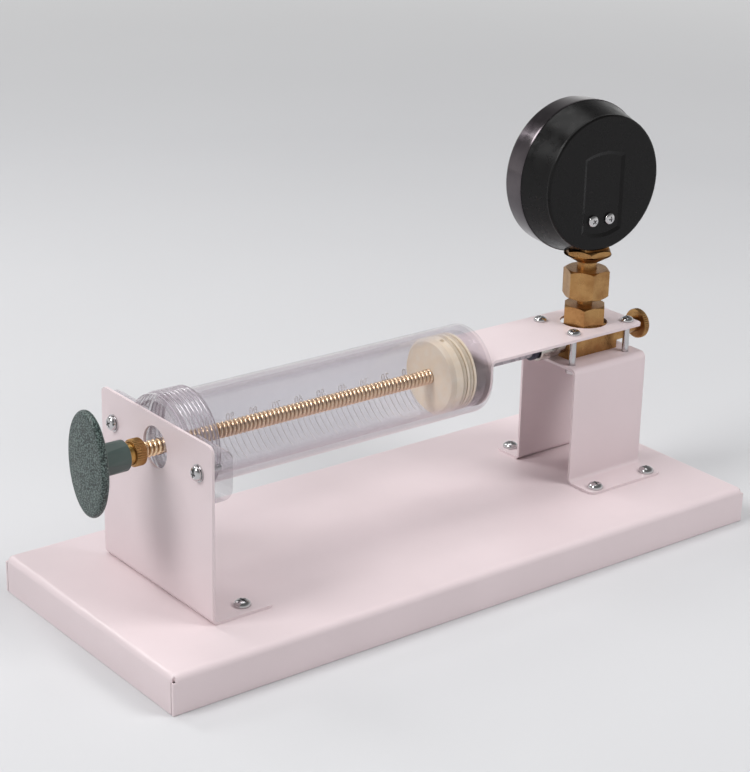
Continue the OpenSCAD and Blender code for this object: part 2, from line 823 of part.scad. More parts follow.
module lock_nut() {
    color(satin_brass)
        turned_x([
            [screw_r + fit, insert_x], [lock_d / 2 - 0.4, insert_x], [lock_d / 2, insert_x + 0.4],
            [lock_d / 2, lock_x - 0.6], [lock_d / 2 - 0.6, lock_x], [screw_r + fit, lock_x]]);
}

// ---- manifold, hose fitting and vent ----

module manifold_block() {
    color(satin_brass) difference() {
        translate([block_x0, axis_y - block_w / 2, stand_top]) cube([block_l, block_w, block_h]);
        bar_x(block_x0 - 1, block_x1 + 1, gallery_d / 2);
        bar_x(block_x0 - 1, block_x0 + port_depth + 0.5, port_d / 2);
        bar_x(block_x1 - port_depth - 0.5, block_x1 + 1, port_d / 2);
        translate([neck_x, axis_y, axis_z]) cylinder(h = block_h, r = gallery_d / 2);
        translate([neck_x, axis_y, bridge_z - 5]) cylinder(h = 6, r = spigot_r);
    }
}

module push_fitting() {
    stop_x = hose_x1 + 0.2;
    edge = fitting_d / 2;
    bore = hose_bore / 2 - 0.4;
    color(nickel)
        turned_x([
            [ring_sleeve_r + 0.1, fitting_x0], [edge - 0.5, fitting_x0], [edge, fitting_x0 + 0.5],
            [edge, fitting_x1 - 0.5], [edge - 0.5, fitting_x1], [4.5, fitting_x1], [4.5, block_x0],
            [port_d / 2 - fit, block_x0], [port_d / 2 - fit, block_x0 + port_depth], [bore, block_x0 + port_depth],
            [bore, stop_x], [hose_r + fit, stop_x], [hose_r + fit, stop_x - 1.2], [chamber_r, stop_x - 1.2],
            [chamber_r, chamber_x], [ring_sleeve_r + 0.1, chamber_x]]);
}

module hose_seal() {
    color(rubber_black)
        ring_seal(hose_x1 - 1 - (chamber_r - hose_r - 0.06) / 2, chamber_r - 0.03, chamber_r - hose_r - 0.06);
}

module release_ring() {
    flange_x = fitting_x0 - ring_travel - 0.3;
    lip_x = chamber_x + 0.4;
    color(ring_navy)
        turned_x([
            [ring_r, flange_x - 2.6], [3.9, flange_x - 2.6], [4.3, flange_x - 2.2], [4.3, flange_x],
            [ring_sleeve_r, flange_x], [ring_sleeve_r, lip_x], [ring_lip_r, lip_x + 0.2],
            [ring_lip_r, lip_x + 0.8], [ring_sleeve_r, lip_x + 1.6], [ring_r, lip_x + 1.6]]);
}

module valve_body() {
    color(satin_brass) difference() {
        union() {
            hex_x(block_x1, valve_hex_end, 10);
            bar_x(block_x1 - port_depth, block_x1 + 1, port_d / 2 - fit);
            bar_x(valve_hex_end - 1, valve_end, 4);
        }
        bar_x(block_x1 - port_depth - 1, valve_end, 1);
        bar_x(seat_x, valve_end + 1, stem_r + fit);
        translate([block_x1 + 1.4, axis_y, axis_z - 10]) cylinder(h = 10, r = 0.6);
    }
}

module vent_screw() {
    thin = stem_r - 0.9;
    seal_x = block_x1 + 2.4;
    color(gold_brass)
        turned_x([
            [0, seat_x - 0.6], [0.55, seat_x - 0.6], [thin, seat_x + 1.2], [thin, seal_x],
            [stem_r, seal_x], [stem_r, seal_x + 0.6], [stem_r - 1.2, seal_x + 0.6], [stem_r - 1.2, seal_x + 1.9],
            [stem_r, seal_x + 1.9], [stem_r, vent_hub_x], [3.1, vent_hub_x], [3.5, vent_hub_x + 0.4],
            [3.5, vent_x], [vent_d / 2 - 0.4, vent_x], [vent_d / 2, vent_x + 0.4],
            [vent_d / 2, vent_x + vent_t - 0.4], [vent_d / 2 - 0.4, vent_x + vent_t],
            [3, vent_x + vent_t], [2.6, vent_x + vent_t + 0.4], [0, vent_x + vent_t + 0.4]]);
}

module vent_seal() {
    color(rubber_black) ring_seal(block_x1 + 2.4 + 1.25, stem_r + fit - 0.03, 1.2);
}

// ---- neck of the gauge ----

module riser_adapter() {
    color(satin_brass) difference() {
        union() {
            hex_z(bridge_z, lower_top, lower_af, 47);
            turned_z([
                [0, bridge_z - 5], [spigot_r - fit, bridge_z - 5], [spigot_r - fit, bridge_z + 1],
                [neck_r, bridge_z + 1], [neck_r, collar_z], [collar_r, collar_z],
                [collar_r, collar_top], [0, collar_top]]);
        }
        translate([neck_x, axis_y, bridge_z - 6]) cylinder(h = lower_h + 20, r = 1.5);
    }
}

module union_nut() {
    color(satin_brass) difference() {
        hex_z(union_z, union_top, union_af, 5);
        turned_z([
            [0, union_z - 1], [neck_r + fit, union_z - 1], [neck_r + fit, collar_z - 0.1],
            [spigot_r + fit, collar_z - 0.1], [spigot_r + fit, union_top + 1], [0, union_top + 1]]);
    }
}

module union_washer() {
    color([0.72, 0.42, 0.28])
        turned_z([
            [1.6, collar_top], [collar_r, collar_top], [collar_r, washer_top], [1.6, washer_top]]);
}

module gauge_socket() {
    shank_d = case_back - case_t - clear;
    color(satin_brass) difference() {
        union() {
            turned_z([
                [0, washer_top], [spigot_r - 0.4, washer_top], [spigot_r, washer_top + 0.4],
                [spigot_r, stem_top], [spigot_r + 0.8, stem_top], [cone_r, cone_top], [0, cone_top]]);
            hex_z(cone_top, hex_top, upper_af, -gauge_turn);
            gauge_frame() {
                translate([-shank_w / 2, hex_top - gauge_z - 0.5, -shank_d])
                    cube([shank_w, shank_top - hex_top + gauge_z + 0.5, 2 * shank_d]);
                translate([-shank_w / 2, shank_top - 0.5, -shank_d]) cube([shank_w, 8.5, shank_d]);
            }
        }
        gauge_frame() {
            rotate([0, 0, tube_start - 8])
                rotate_extrude(angle = 24)
                    translate([tube_r - tube_t / 2 - fit, -tube_w / 2 - fit])
                        square([tube_t + 2 * fit, tube_w + 2 * fit]);
            for (side = [-1, 1])
                translate([side * 4.55, screw_plane, -shank_d - 1]) cylinder(h = 5, r = 1.2 + fit);
            for (side = [-1, 1])
                translate([side * 1.6, foot_row, -2.5]) cylinder(h = 3, r = 0.8 + fit);
        }
        translate([neck_x, axis_y, union_z]) cylinder(h = hex_top - union_z + 6, r = 1.5);
        // relief under the bezel
        gauge_frame() translate([0, 0, case_front - fit]) cylinder(h = 2 * bezel_depth, r = bezel_r + fit);
    }
}

// ---- gauge ----

// panel stamped into the back of the case: straight sides, an arc above and the rim's curve below
module back_panel() {
    slope = 1.6;
    top_r = 26.4;
    top_drop = 12.1;
    low_r = 24;
    face = -case_back;
    inner = panel_d - case_back;
    intersection() {
        translate([0, 60, 0]) rotate([90, 0, 0]) linear_extrude(120) polygon([
            [-panel_w / 2, face - 1], [panel_w / 2, face - 1], [panel_w / 2, face],
            [panel_w / 2 - slope, inner], [slope - panel_w / 2, inner], [-panel_w / 2, face]]);
        translate([0, -top_drop, 0]) panel_disc(top_r, slope, face, inner, 180);
        panel_disc(low_r, slope, face, inner, 180);
    }
}

// round cut with a sloping wall, from outside the case's face down to the panel's floor
module panel_disc(r, slope, face, inner, sides) {
    rotate_extrude($fn = sides) polygon([[0, face - 1], [r, face - 1], [r, face], [r - slope, inner], [0, inner]]);
}

module gauge_case() {
    edge = 1.2;
    flare_r = bezel_r - 0.2;
    color(gauge_black) difference() {
        gauge_frame() {
            difference() {
                rotate_extrude() {
                    polygon([
                        [0, -case_back], [back_r - edge, -case_back], [back_r - 0.25, edge * 0.6 - case_back],
                        [back_r, edge * 1.4 - case_back], [flare_r, case_front],
                        [rim_r, case_front], [rim_r, window_z - gasket_t], [0, window_z - gasket_t]]);
                    translate([back_r - edge, edge - case_back]) circle(edge, $fn = 48);
                }
                back_panel();
                difference() {
                    rotate_extrude() polygon([
                        [0, case_t - case_back], [back_r - case_t, case_t - case_back],
                        [cavity_r, case_front], [cavity_r, bezel_end], [0, bezel_end]]);
                    translate([-shank_w, -60, -case_back]) cube([2 * shank_w, hex_top + 1.6 - gauge_z + 60, 13.4]);
                }
                translate([-shank_w / 2 - fit, -back_r - 3, -shank_w]) intersection() {
                    cube([shank_w + 2 * fit, 12, 2 * shank_w]);
                    translate([0, 0, shank_w - (case_back - case_t - clear) - fit])
                        cube([shank_w + 2 * fit, 12, 2 * (case_back - case_t - clear + fit)]);
                }
                for (side = [-1, 1])
                    translate([side * 4.55, screw_plane, -case_back - 2]) cylinder(h = 5, r = 1.2 + 0.15);
            }
        }
        translate([neck_x, axis_y, cone_top - 4])
            rotate([0, 0, -gauge_turn])
                cylinder(h = hex_top - cone_top + 4, r = upper_af / 2 / cos(30) + 0.2, $fn = 6);
        turned_z([[0, cone_top - 6], [cone_r + 0.4, cone_top - 6], [cone_r + 0.4, cone_top + 0.1], [0, cone_top + 0.1]]);
    }
}

module case_screws() {
    color(zinc)
        gauge_frame()
            for (side = [-1, 1])
                translate([side * 4.55, screw_plane, panel_d - case_back])
                    rotate([180, 0, 0]) pan_screw([2.65, 1.7], 2.4, case_t - panel_d + 3.4);
}

module bezel_ring() {
    lip = bezel_end - 1.5;
    color(gauge_black)
        gauge_frame()
            rotate_extrude() polygon([
                [rim_r + 0.1, case_front], [bezel_r, case_front], [bezel_r, case_front + 1],
                [bezel_r - 0.7, bezel_end - 1.2], [bezel_r - 1.1, bezel_end - 0.4], [bezel_r - 1.9, bezel_end],
                [bezel_r - 4.9, bezel_end], [bezel_r - 5.3, bezel_end - 0.4], [bezel_r - 5.3, lip],
                [rim_r + 0.1, lip]]);
}

module gauge_window() {
    color([0.9, 0.95, 0.95, 0.3])
        gauge_frame()
            translate([0, 0, window_z]) cylinder(h = window_t, r = window_r);
}

module window_gasket() {
    color(rubber_black)
        gauge_frame()
            translate([0, 0, window_z - gasket_t]) difference() {
                cylinder(h = gasket_t, r = window_r);
                translate([0, 0, -1]) cylinder(h = gasket_t + 2, r = cavity_r);
            }
}

module dial_plate() {
    color(dial_white)
        gauge_frame() flat(dial_z, dial_z + dial_t) difference() {
            circle(dial_r);
            circle(1.5);
            for (side = [-1, 1])
                translate([side * dial_post[0], dial_post[1]]) circle(0.8 + 0.1);
        }
}

module dial_screws() {
    color(zinc)
        gauge_frame()
            for (side = [-1, 1])
                translate([side * dial_post[0], dial_post[1], dial_z + dial_t])
                    pan_screw([1.4, 0.7], 1.6, 2.6);
}

module pointer() {
    rest = 45;
    color(rubber_black)
        gauge_frame() {
            rotate([0, 0, rest]) flat(pointer_z, pointer_z + 0.6) difference() {
                union() {
                    circle(2.4);
                    polygon([[0, -1.1], [pointer_l - 3, -0.35], [pointer_l, 0], [pointer_l - 3, 0.35], [0, 1.1]]);
                    polygon([[0, -0.9], [0, 0.9], [-7.5, 1.5], [-7.5, -1.5]]);
                }
                circle(0.6 + 0.02);
            }
            translate([0, 0, pointer_z + 0.6]) difference() {
                cylinder(h = 0.9, r = 1.6);
                translate([0, 0, -1]) cylinder(h = 1.6, r = 0.6 + 0.02);
            }
        }
}

module pinion_shaft() {
    color(zinc)
        gauge_frame() {
            translate([0, 0, 0.1]) cylinder(h = pointer_z + 1.1 - 0.1, r = 0.6);
            flat(2, 4) {
                circle(pinion_r - gear_module * 1.1);
                for (i = [0 : pinion_teeth - 1])
                    rotate(360 / pinion_teeth * (i + 0.5)) tooth(pinion_r, gear_module * 0.8, gear_module * 1.1);
            }
            translate([0, 0, 4.4]) cylinder(h = 1, r = 1.3);
        }
}

module sector_gear() {
    first = 65;
    count = 14;
    root_r = sector_r - gear_module * 1.1;
    color(gold_brass)
        gauge_frame()
            translate([0, -gear_gap, 0]) {
                flat(2.5, 3.5) {
                    intersection() {
                        difference() {
                            circle(root_r, $fn = 180);
                            circle(root_r - 1.7);
                        }
                        polygon([
                            [0, 0], turned([20, 0], first - 3), turned([20, 0], first + 21),
                            turned([20, 0], first + 45), turned([20, 0], first + (count - 1) * tooth_step + 3)]);
                    }
                    for (i = [0 : count - 1])
                        rotate(first + i * tooth_step) tooth(sector_r, gear_module * 0.8, gear_module * 1.1);
                    circle(2.4);
                    for (a = [first + 3, first + (count - 1) * tooth_step - 3])
                        rotate(a) translate([0, -1]) square([root_r - 0.8, 2]);
                    rotate(165) translate([0, -1.3]) square([9, 2.6]);
                    rotate(165) translate([9, 0]) circle(1.5);
                }
                rotate(165) translate([9, 0, 3.4]) cylinder(h = 0.6, r = 0.6);
                translate([0, 0, 0.1]) cylinder(h = 6.8, r = 0.8);
            }
}

module movement_back_plate() {
    color(satin_brass)
        gauge_frame() flat(0, plate_t) difference() {
            plate_2d();
            circle(0.6 + fit);
            translate([0, -gear_gap]) circle(0.8 + fit);
            for (side = [-1, 1])
                translate([side * 1.6, -18.6]) circle(0.8 + 0.1);
            rotate([0, 0, tube_start])
                translate([tube_r - tube_t / 2 - clear, -4]) square([8, 12]);
        }
}

module movement_front_plate() {
    color(satin_brass)
        gauge_frame() {
            flat(front_z, front_z + plate_t) difference() {
                plate_2d();
                circle(0.6 + fit);
                translate([0, -gear_gap]) circle(0.8 + fit);
                for (p = pillar_at)
                    translate(p) circle(0.8 + 0.1);
                for (side = [-1, 1])
                    translate([side * dial_post[0], dial_post[1]]) circle(0.8 + 0.1);
            }
            for (side = [-1, 1])
                translate([side * dial_post[0], dial_post[1], front_z + plate_t]) difference() {
                    cylinder(h = dial_z - front_z - plate_t, r = 1.5);
                    translate([0, 0, -1]) cylinder(h = 9, r = 0.8 + fit);
                }
            translate([stud_a - 0.5, 0, 4.5]) cube([1, 1.2, front_z - 4.5]);
        }
}

module movement_pillars() {
    color(gold_brass)
        gauge_frame()
            for (p = pillar_at)
                translate([p[0], p[1], plate_t]) difference() {
                    cylinder(h = front_z - plate_t, r = 1.5);
                    translate([0, 0, 2]) cylinder(h = 9, r = 0.8 + fit);
                }
}

module movement_screws() {
    color(zinc)
        gauge_frame() {
            for (p = pillar_at)
                translate([p[0], p[1], front_z + plate_t]) pan_screw([1.4, 0.9], 1.6, 3.4);
            for (side = [-1, 1])
                translate([side * 1.6, foot_row, plate_t]) pan_screw([1.4, 0.9], 1.6, 3.4);
        }
}

module bourdon_tube() {
    wall = 0.4;
    color(gold_brass)
        gauge_frame()
            rotate([0, 0, tube_start])
                rotate_extrude(angle = tube_sweep)
                    translate([tube_r, 0]) difference() {
                        tube_2d(tube_t / 2);
                        tube_2d(tube_t / 2 - wall);
                    }
}

// flattened section of the pressure tube, from its half thickness
module tube_2d(half) {
    reach = tube_w / 2 - tube_t / 2;
    square([2 * half, 2 * reach], center = true);
    for (end = [-1, 1])
        translate([0, end * reach]) circle(half, $fn = 36);
}

module tube_tip() {
    color(gold_brass)
        gauge_frame() {
            rotate([0, 0, tube_end])
                translate([tube_r - 2, 0, -tube_w / 2]) cube([4, 4, tube_w + 0.3]);
            translate([tip_pin[0], tip_pin[1], 4]) cylinder(h = 1.3, r = 0.6);
        }
}

module link() {
    run = tail_pin - tip_pin;
    color(zinc)
        gauge_frame() flat(tube_w / 2 + 0.3, tube_w / 2 + 0.9) difference() {
            union() {
                translate(tip_pin) circle(1.5);
                translate(tail_pin) circle(1.5);
                translate(tip_pin)
                    rotate(atan2(run[1], run[0]))
                        translate([0, -0.8]) square([norm(run), 1.6]);
            }
            translate(tip_pin) circle(0.6 + fit);
            translate(tail_pin) circle(0.6 + fit);
        }
}

module hairspring() {
    start = 1.75;
    step = 0.45;
    color(zinc)
        gauge_frame()
            for (k = [0 : 7])
                translate([k % 2 == 0 ? 0 : step, 0, 4.6])
                    rotate([0, 0, k % 2 == 0 ? 0 : 180])
                        rotate_extrude(angle = 180)
                            translate([start + k * step - 0.12, 0]) square([0.24, 0.7]);
}

base_tray();
end_bracket();
bracket_screws();
bracket_nuts();
cap_screws();
cap_washers();
gauge_stand();
stand_screws();
stand_nuts();
bridge_plate();
bridge_screws();
bridge_nuts();
barrel();
barrel_cap();
end_plug();
outlet_nipple();
nipple_seal();
air_hose();
push_fitting();
hose_seal();
release_ring();
manifold_block();
valve_body();
vent_screw();
vent_seal();
riser_adapter();
union_nut();
union_washer();
gauge_socket();
gauge_case();
case_screws();
bezel_ring();
gauge_window();
window_gasket();
dial_plate();
dial_screws();
pointer();
pinion_shaft();
sector_gear();
movement_back_plate();
movement_front_plate();
movement_pillars();
movement_screws();
bourdon_tube();
tube_tip();
link();
hairspring();
piston();
piston_seals();
swivel_pins();
lead_screw();
hand_knob();
knob_insert();
lock_nut();
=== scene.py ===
"""Looks of a Boyle's law apparatus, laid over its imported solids.

Each sub-assembly is a class with its sizes in millimetres. Its methods build the pieces that the
solids leave plain, such as threads, knurls, scales and screw recesses, and dress the solids that
stay. Materials are made of nodes on Object coordinates.
"""

import json
import logging
import math
from dataclasses import dataclass
from enum import Enum

import bmesh
import bpy
from mathutils import Matrix, Vector


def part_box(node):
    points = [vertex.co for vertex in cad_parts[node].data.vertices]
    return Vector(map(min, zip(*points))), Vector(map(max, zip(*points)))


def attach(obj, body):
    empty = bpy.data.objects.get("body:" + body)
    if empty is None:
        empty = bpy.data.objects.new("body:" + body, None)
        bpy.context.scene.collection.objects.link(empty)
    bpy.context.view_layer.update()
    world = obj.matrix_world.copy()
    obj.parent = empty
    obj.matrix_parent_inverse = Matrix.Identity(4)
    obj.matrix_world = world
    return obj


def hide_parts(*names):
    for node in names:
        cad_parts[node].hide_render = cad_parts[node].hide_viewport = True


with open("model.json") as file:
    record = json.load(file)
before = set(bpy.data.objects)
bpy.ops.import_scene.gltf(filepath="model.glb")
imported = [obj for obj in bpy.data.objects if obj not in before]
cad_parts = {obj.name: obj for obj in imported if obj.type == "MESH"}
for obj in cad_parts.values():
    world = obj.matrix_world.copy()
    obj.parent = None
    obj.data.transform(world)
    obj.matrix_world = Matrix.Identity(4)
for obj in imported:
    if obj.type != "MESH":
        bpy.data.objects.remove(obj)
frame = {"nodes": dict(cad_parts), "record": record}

MM = 0.001
Socket, Material, Object = bpy.types.NodeSocket, bpy.types.Material, bpy.types.Object
logging.basicConfig(level=logging.INFO, format="%(name)s: %(message)s")
log = logging.getLogger("apparatus")


class Body(Enum):
    """Rigid bodies that a piece can ride on."""

    FRAME = "frame"
    SCREW = "screw"
    VENT = "vent_screw"


class Slot(Enum):
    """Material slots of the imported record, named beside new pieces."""

    ZINC = "zinc"
    SATIN_BRASS = "satin_brass"
    BRIGHT_BRASS = "bright_brass"
    CLEAR_TUBE = "clear_tube"
    DIAL = "pointer_black"


def shade(red: int, green: int, blue: int) -> tuple[float, float, float, float]:
    """Colour of a finish as the shader takes it.

    Args:
        red: Red of the colour as seen on a screen, 0 to 255.
        green: Green, 0 to 255.
        blue: Blue, 0 to 255.

    Returns:
        The linear colour with full alpha.
    """
    linear = []
    for value in (red, green, blue):
        part = value / 255
        linear.append(part / 12.92 if part <= 0.04045 else ((part + 0.055) / 1.055) ** 2.4)
    return (*linear, 1.0)


def tinted(colour: tuple, factor: float) -> tuple[float, float, float, float]:
    """Lighter or darker shade of a colour.

    Args:
        colour: Linear colour with alpha.
        factor: What its red, green and blue are multiplied by.

    Returns:
        The new colour, held between 0 and 1.
    """
    return (*(min(1.0, part * factor) for part in colour[:3]), 1.0)


class Nodes:
    """Node tree that is filled step by step."""

    def __init__(self, tree: bpy.types.NodeTree) -> None:
        """Keep the tree."""
        self.tree = tree

    def add(self, kind: str, settings: dict | None = None, **inputs) -> bpy.types.Node:
        """Add a node and fill its inputs.

        Args:
            kind: Blender's name of the node type.
            settings: Properties of the node.
            **inputs: Values or sockets, by name with spaces as underscores, or by number as _0.

        Returns:
            The new node.
        """
        node = self.tree.nodes.new(kind)
        for key, value in (settings or {}).items():
            setattr(node, key, value)
        for key, value in inputs.items():
            socket = node.inputs[int(key[1:])] if key[1:].isdigit() else node.inputs[key.replace("_", " ")]
            if isinstance(value, Socket):
                self.tree.links.new(value, socket)
            else:
                socket.default_value = value
        return node

    def calc(self, operation: str, *values) -> Socket:
        """Work out one value from others.

        Args:
            operation: Blender's name of the operation.
            *values: Numbers or sockets, in the order of the node's inputs.

        Returns:
            The result.
        """
        numbered = {f"_{i}": value for i, value in enumerate(values)}
        return self.add("ShaderNodeMath", {"operation": operation}, **numbered).outputs[0]

    def mapped(self, value: Socket, low: float, high: float, start: float, end: float) -> Socket:
        """Carry a value from one range to another, held at both ends.

        Args:
            value: The value to read.
            low: Value that gives the start.
            high: Value that gives the end.
            start: Result at low.
            end: Result at high.

        Returns:
            The mapped value.
        """
        ends = {"From_Min": low, "From_Max": high, "To_Min": start, "To_Max": end}
        return self.add("ShaderNodeMapRange", Value=value, **ends).outputs["Result"]


class Graph(Nodes):
    """Shader nodes of one finish."""

    def __init__(self, name: str) -> None:
        """Start an empty material.

        Args:
            name: Name of the material.
        """
        self.material = bpy.data.materials.new(name)
        self.material.use_nodes = True
        super().__init__(self.material.node_tree)
        self.tree.nodes.clear()
        self.output = self.add("ShaderNodeOutputMaterial")
        self.place = self.add("ShaderNodeTexCoord").outputs["Object"]

    def stretched(self, scale: tuple[float, float, float]) -> Socket:
        """Object coordinates stretched along the axes.

        Args:
            scale: Factor along X, Y and Z.

        Returns:
            The socket of the stretched coordinates.
        """
        return self.add("ShaderNodeMapping", Vector=self.place, Scale=scale).outputs["Vector"]

    def noise(self, grain_mm: float, detail: float = 3.0, where: Socket | None = None) -> Socket:
        """Noise with features of a given size.

        Args:
            grain_mm: Rough size of a feature in millimetres.
            detail: Octaves of finer noise.
            where: Coordinates to read, Object coordinates if left out.

        Returns:
            The noise value.
        """
        inputs = {"Vector": where or self.place, "Scale": 1 / (grain_mm * MM), "Detail": detail}
        return self.add("ShaderNodeTexNoise", **inputs).outputs["Fac"]

    def ramp(self, value: Socket, low: float, high: float, start: tuple, end: tuple) -> Socket:
        """Colour that runs between two shades as a value rises.

        Args:
            value: The value to read.
            low: Value where the first shade ends.
            high: Value where the second shade is reached.
            start: First shade.
            end: Second shade.

        Returns:
            The colour.
        """
        node = self.add("ShaderNodeValToRGB", Fac=value)
        node.color_ramp.elements[0].position = low
        node.color_ramp.elements[0].color = start
        node.color_ramp.elements[1].position = high
        node.color_ramp.elements[1].color = end
        return node.outputs["Color"]

    def spread(self, value: Socket, low: float, high: float) -> Socket:
        """Value mapped from the noise's middle range to new limits.

        Args:
            value: The value to read.
            low: Result at 0.3.
            high: Result at 0.7.

        Returns:
            The mapped value.
        """
        return self.mapped(value, 0.3, 0.7, low, high)

    def bump(self, height: Socket, depth_mm: float, strength: float, onto: Socket | None = None) -> Socket:
        """Surface relief.

        Args:
            height: Height of the relief, 0 to 1.
            depth_mm: Depth of the relief in millimetres.
            strength: Share of the relief that shows.
            onto: Normal that carries coarser relief.

        Returns:
            The bent normal.
        """
        inputs = {"Height": height, "Distance": depth_mm * MM, "Strength": strength}
        if onto:
            inputs["Normal"] = onto
        return self.add("ShaderNodeBump", **inputs).outputs["Normal"]

    def parts(self) -> bpy.types.NodeOutputs:
        """X, Y and Z of a surface point in metres."""
        return self.add("ShaderNodeSeparateXYZ", Vector=self.place).outputs

    def radius(self, axis_y: float, axis_z: float) -> Socket:
        """Distance of a surface point from an axis along X.

        Args:
            axis_y: Y of the axis in millimetres.
            axis_z: Z of the axis in millimetres.

        Returns:
            The distance in metres.
        """
        parts = self.parts()
        across = self.calc("SUBTRACT", parts["Y"], axis_y * MM)
        above = self.calc("SUBTRACT", parts["Z"], axis_z * MM)
        arm = self.add("ShaderNodeCombineXYZ", X=0.0, Y=across, Z=above).outputs[0]
        return self.add("ShaderNodeVectorMath", {"operation": "LENGTH"}, _0=arm).outputs["Value"]

    def close(self, shader: bpy.types.Node) -> Material:
        """Join the last shader to the output.

        Args:
            shader: The shader node that shows.

        Returns:
            The finished material.
        """
        self.tree.links.new(shader.outputs[0], self.output.inputs["Surface"])
        return self.material

    def surface(self, **inputs) -> Material:
        """End the material with one plain surface.

        Args:
            **inputs: Values or sockets of the surface shader.

        Returns:
            The finished material.
        """
        return self.close(self.add("ShaderNodeBsdfPrincipled", **inputs))


@dataclass(frozen=True)
class PowderCoat:
    """Satin powder coat with a fine orange peel."""

    name: str
    colour: tuple
    peel_mm: float = 0.9
    wave_mm: float = 7.0
    roughness: float = 0.42

    def make(self) -> Material:
        """Build the material.

        Returns:
            The finished material.
        """
        graph = Graph(self.name)
        mottle = graph.noise(38.0, 4.0)
        colour = graph.ramp(mottle, 0.35, 0.65, tinted(self.colour, 0.965), self.colour)
        peel = graph.bump(graph.noise(self.peel_mm, 2.0), 0.05, 0.35)
        normal = graph.bump(graph.noise(self.wave_mm, 1.0), 0.06, 0.25, peel)
        rough = graph.spread(graph.noise(12.0, 3.0), self.roughness - 0.05, self.roughness + 0.06)
        return graph.surface(
            Base_Color=colour, Roughness=rough, Normal=normal, Coat_Weight=0.12, Coat_Roughness=0.25)


@dataclass(frozen=True)
class TurnedMetal:
    """Bare or plated metal with turning or drawing marks."""

    name: str
    colour: tuple
    dull: tuple
    roughness: float
    marks: tuple = (1.0, 1.0, 1.0)
    mark_mm: float = 0.5
    relief: float = 0.15
    stain_mm: float = 14.0

    def make(self) -> Material:
        """Build the material.

        Returns:
            The finished material.
        """
        graph = Graph(self.name)
        stain = graph.noise(self.stain_mm, 3.0)
        colour = graph.ramp(stain, 0.3, 0.62, self.dull, self.colour)
        drawn = graph.noise(self.mark_mm, 3.0, graph.stretched(self.marks))
        rough = graph.spread(drawn, self.roughness - 0.05, self.roughness + 0.09)
        normal = graph.bump(drawn, 0.03, self.relief)
        return graph.surface(Base_Color=colour, Metallic=1.0, Roughness=rough, Normal=normal)


@dataclass(frozen=True)
class Ribs:
    """Painted highlight lines of pale skin in each valley between the moulded rib rings round the cylinder's
    axis.
    """

    end_x: float
    pitch: float
    axis_y: float
    axis_z: float
    least_r: float
    top_r: float
    most: float
    lit: float = 0.05
    dark: float = 0.3

    def valleys(self, graph: Graph) -> Socket:
        """Share of pale skin painted as a highlight line in each rib valley.

        Args:
            graph: Shader nodes of the finish.

        Returns:
            The share, 0 away from the rib rings.
        """
        left = graph.calc("SUBTRACT", self.end_x * MM, graph.parts()["X"])
        near = graph.calc("PINGPONG", graph.calc("DIVIDE", left, self.pitch * MM), 0.5)
        line = graph.mapped(near, self.lit, self.dark, self.most, 0.0)
        middle, reach = (self.least_r + self.top_r) / 2, (self.top_r - self.least_r) / 2
        outside = graph.calc("COMPARE", graph.radius(self.axis_y, self.axis_z), middle * MM, reach * MM)
        return graph.calc("MULTIPLY", line, outside)


@dataclass(frozen=True)
class ThreadedBrass:
    """Brass thread, with painted shade that darkens its colour from the crests down into the grooves."""

    name: str
    crest: tuple
    groove: tuple
    roughness: float
    axis_y: float
    axis_z: float
    root_r: float
    crest_r: float

    def make(self) -> Material:
        """Build the material.

        Returns:
            The finished material.
        """
        graph = Graph(self.name)
        radius = graph.radius(self.axis_y, self.axis_z)
        # Painted shade: the darker colour at the root radius is painted shade, and the crest colour is the
        # brass itself.
        share = graph.mapped(radius, self.root_r * MM, self.crest_r * MM, 0.0, 1.0)
        colour = graph.ramp(share, 0.1, 0.8, self.groove, self.crest)
        rough = graph.spread(graph.noise(2.0, 3.0), self.roughness - 0.04, self.roughness + 0.08)
        return graph.surface(Base_Color=colour, Metallic=1.0, Roughness=rough)


@dataclass(frozen=True)
class ClearPlastic:
    """Clear plastic: see-through face on, bright towards its edges, with a little haze."""

    name: str
    through: tuple
    skin: tuple
    haze: float
    edge: float
    roughness: float
    ripple_mm: float
    ripple: float
    ribs: Ribs | None = None
    edge_from: float = 0.45
    least_gloss: float = 0.03
    most_gloss: float = 0.75

    def make(self) -> Material:
        """Build the material.

        Returns:
            The finished material.
        """
        graph = Graph(self.name)
        scuff = graph.bump(graph.noise(0.4, 4.0, graph.stretched((0.08, 1.0, 1.0))), 0.01, 0.1)
        normal = graph.bump(graph.noise(self.ripple_mm, 1.5), 0.2, self.ripple, scuff)
        clear = graph.add("ShaderNodeBsdfTransparent", Color=self.through)
        cloud = graph.spread(graph.noise(9.0, 4.0), self.roughness, self.roughness + 0.05)
        solid = graph.add("ShaderNodeBsdfPrincipled", Base_Color=self.skin, Roughness=cloud, Normal=normal)
        slant = graph.add("ShaderNodeLayerWeight", Blend=0.5, Normal=normal).outputs["Facing"]
        share = graph.mapped(slant, self.edge_from, 1.0, self.haze, self.edge)
        # Painted highlight: pale skin in lines along the cap's rib valleys.
        if self.ribs:
            share = graph.calc("MAXIMUM", share, self.ribs.valleys(graph))
        body = graph.add("ShaderNodeMixShader", Fac=share, _1=clear.outputs[0], _2=solid.outputs[0])
        mirror = graph.mapped(graph.calc("POWER", slant, 4.0), 0.0, 1.0, self.least_gloss, self.most_gloss)
        shine = {"Color": (0.95, 0.95, 0.95, 1.0), "Roughness": self.roughness, "Normal": normal}
        gloss = graph.add("ShaderNodeBsdfAnisotropic", **shine)
        return graph.close(
            graph.add("ShaderNodeMixShader", Fac=mirror, _1=body.outputs[0], _2=gloss.outputs[0]))


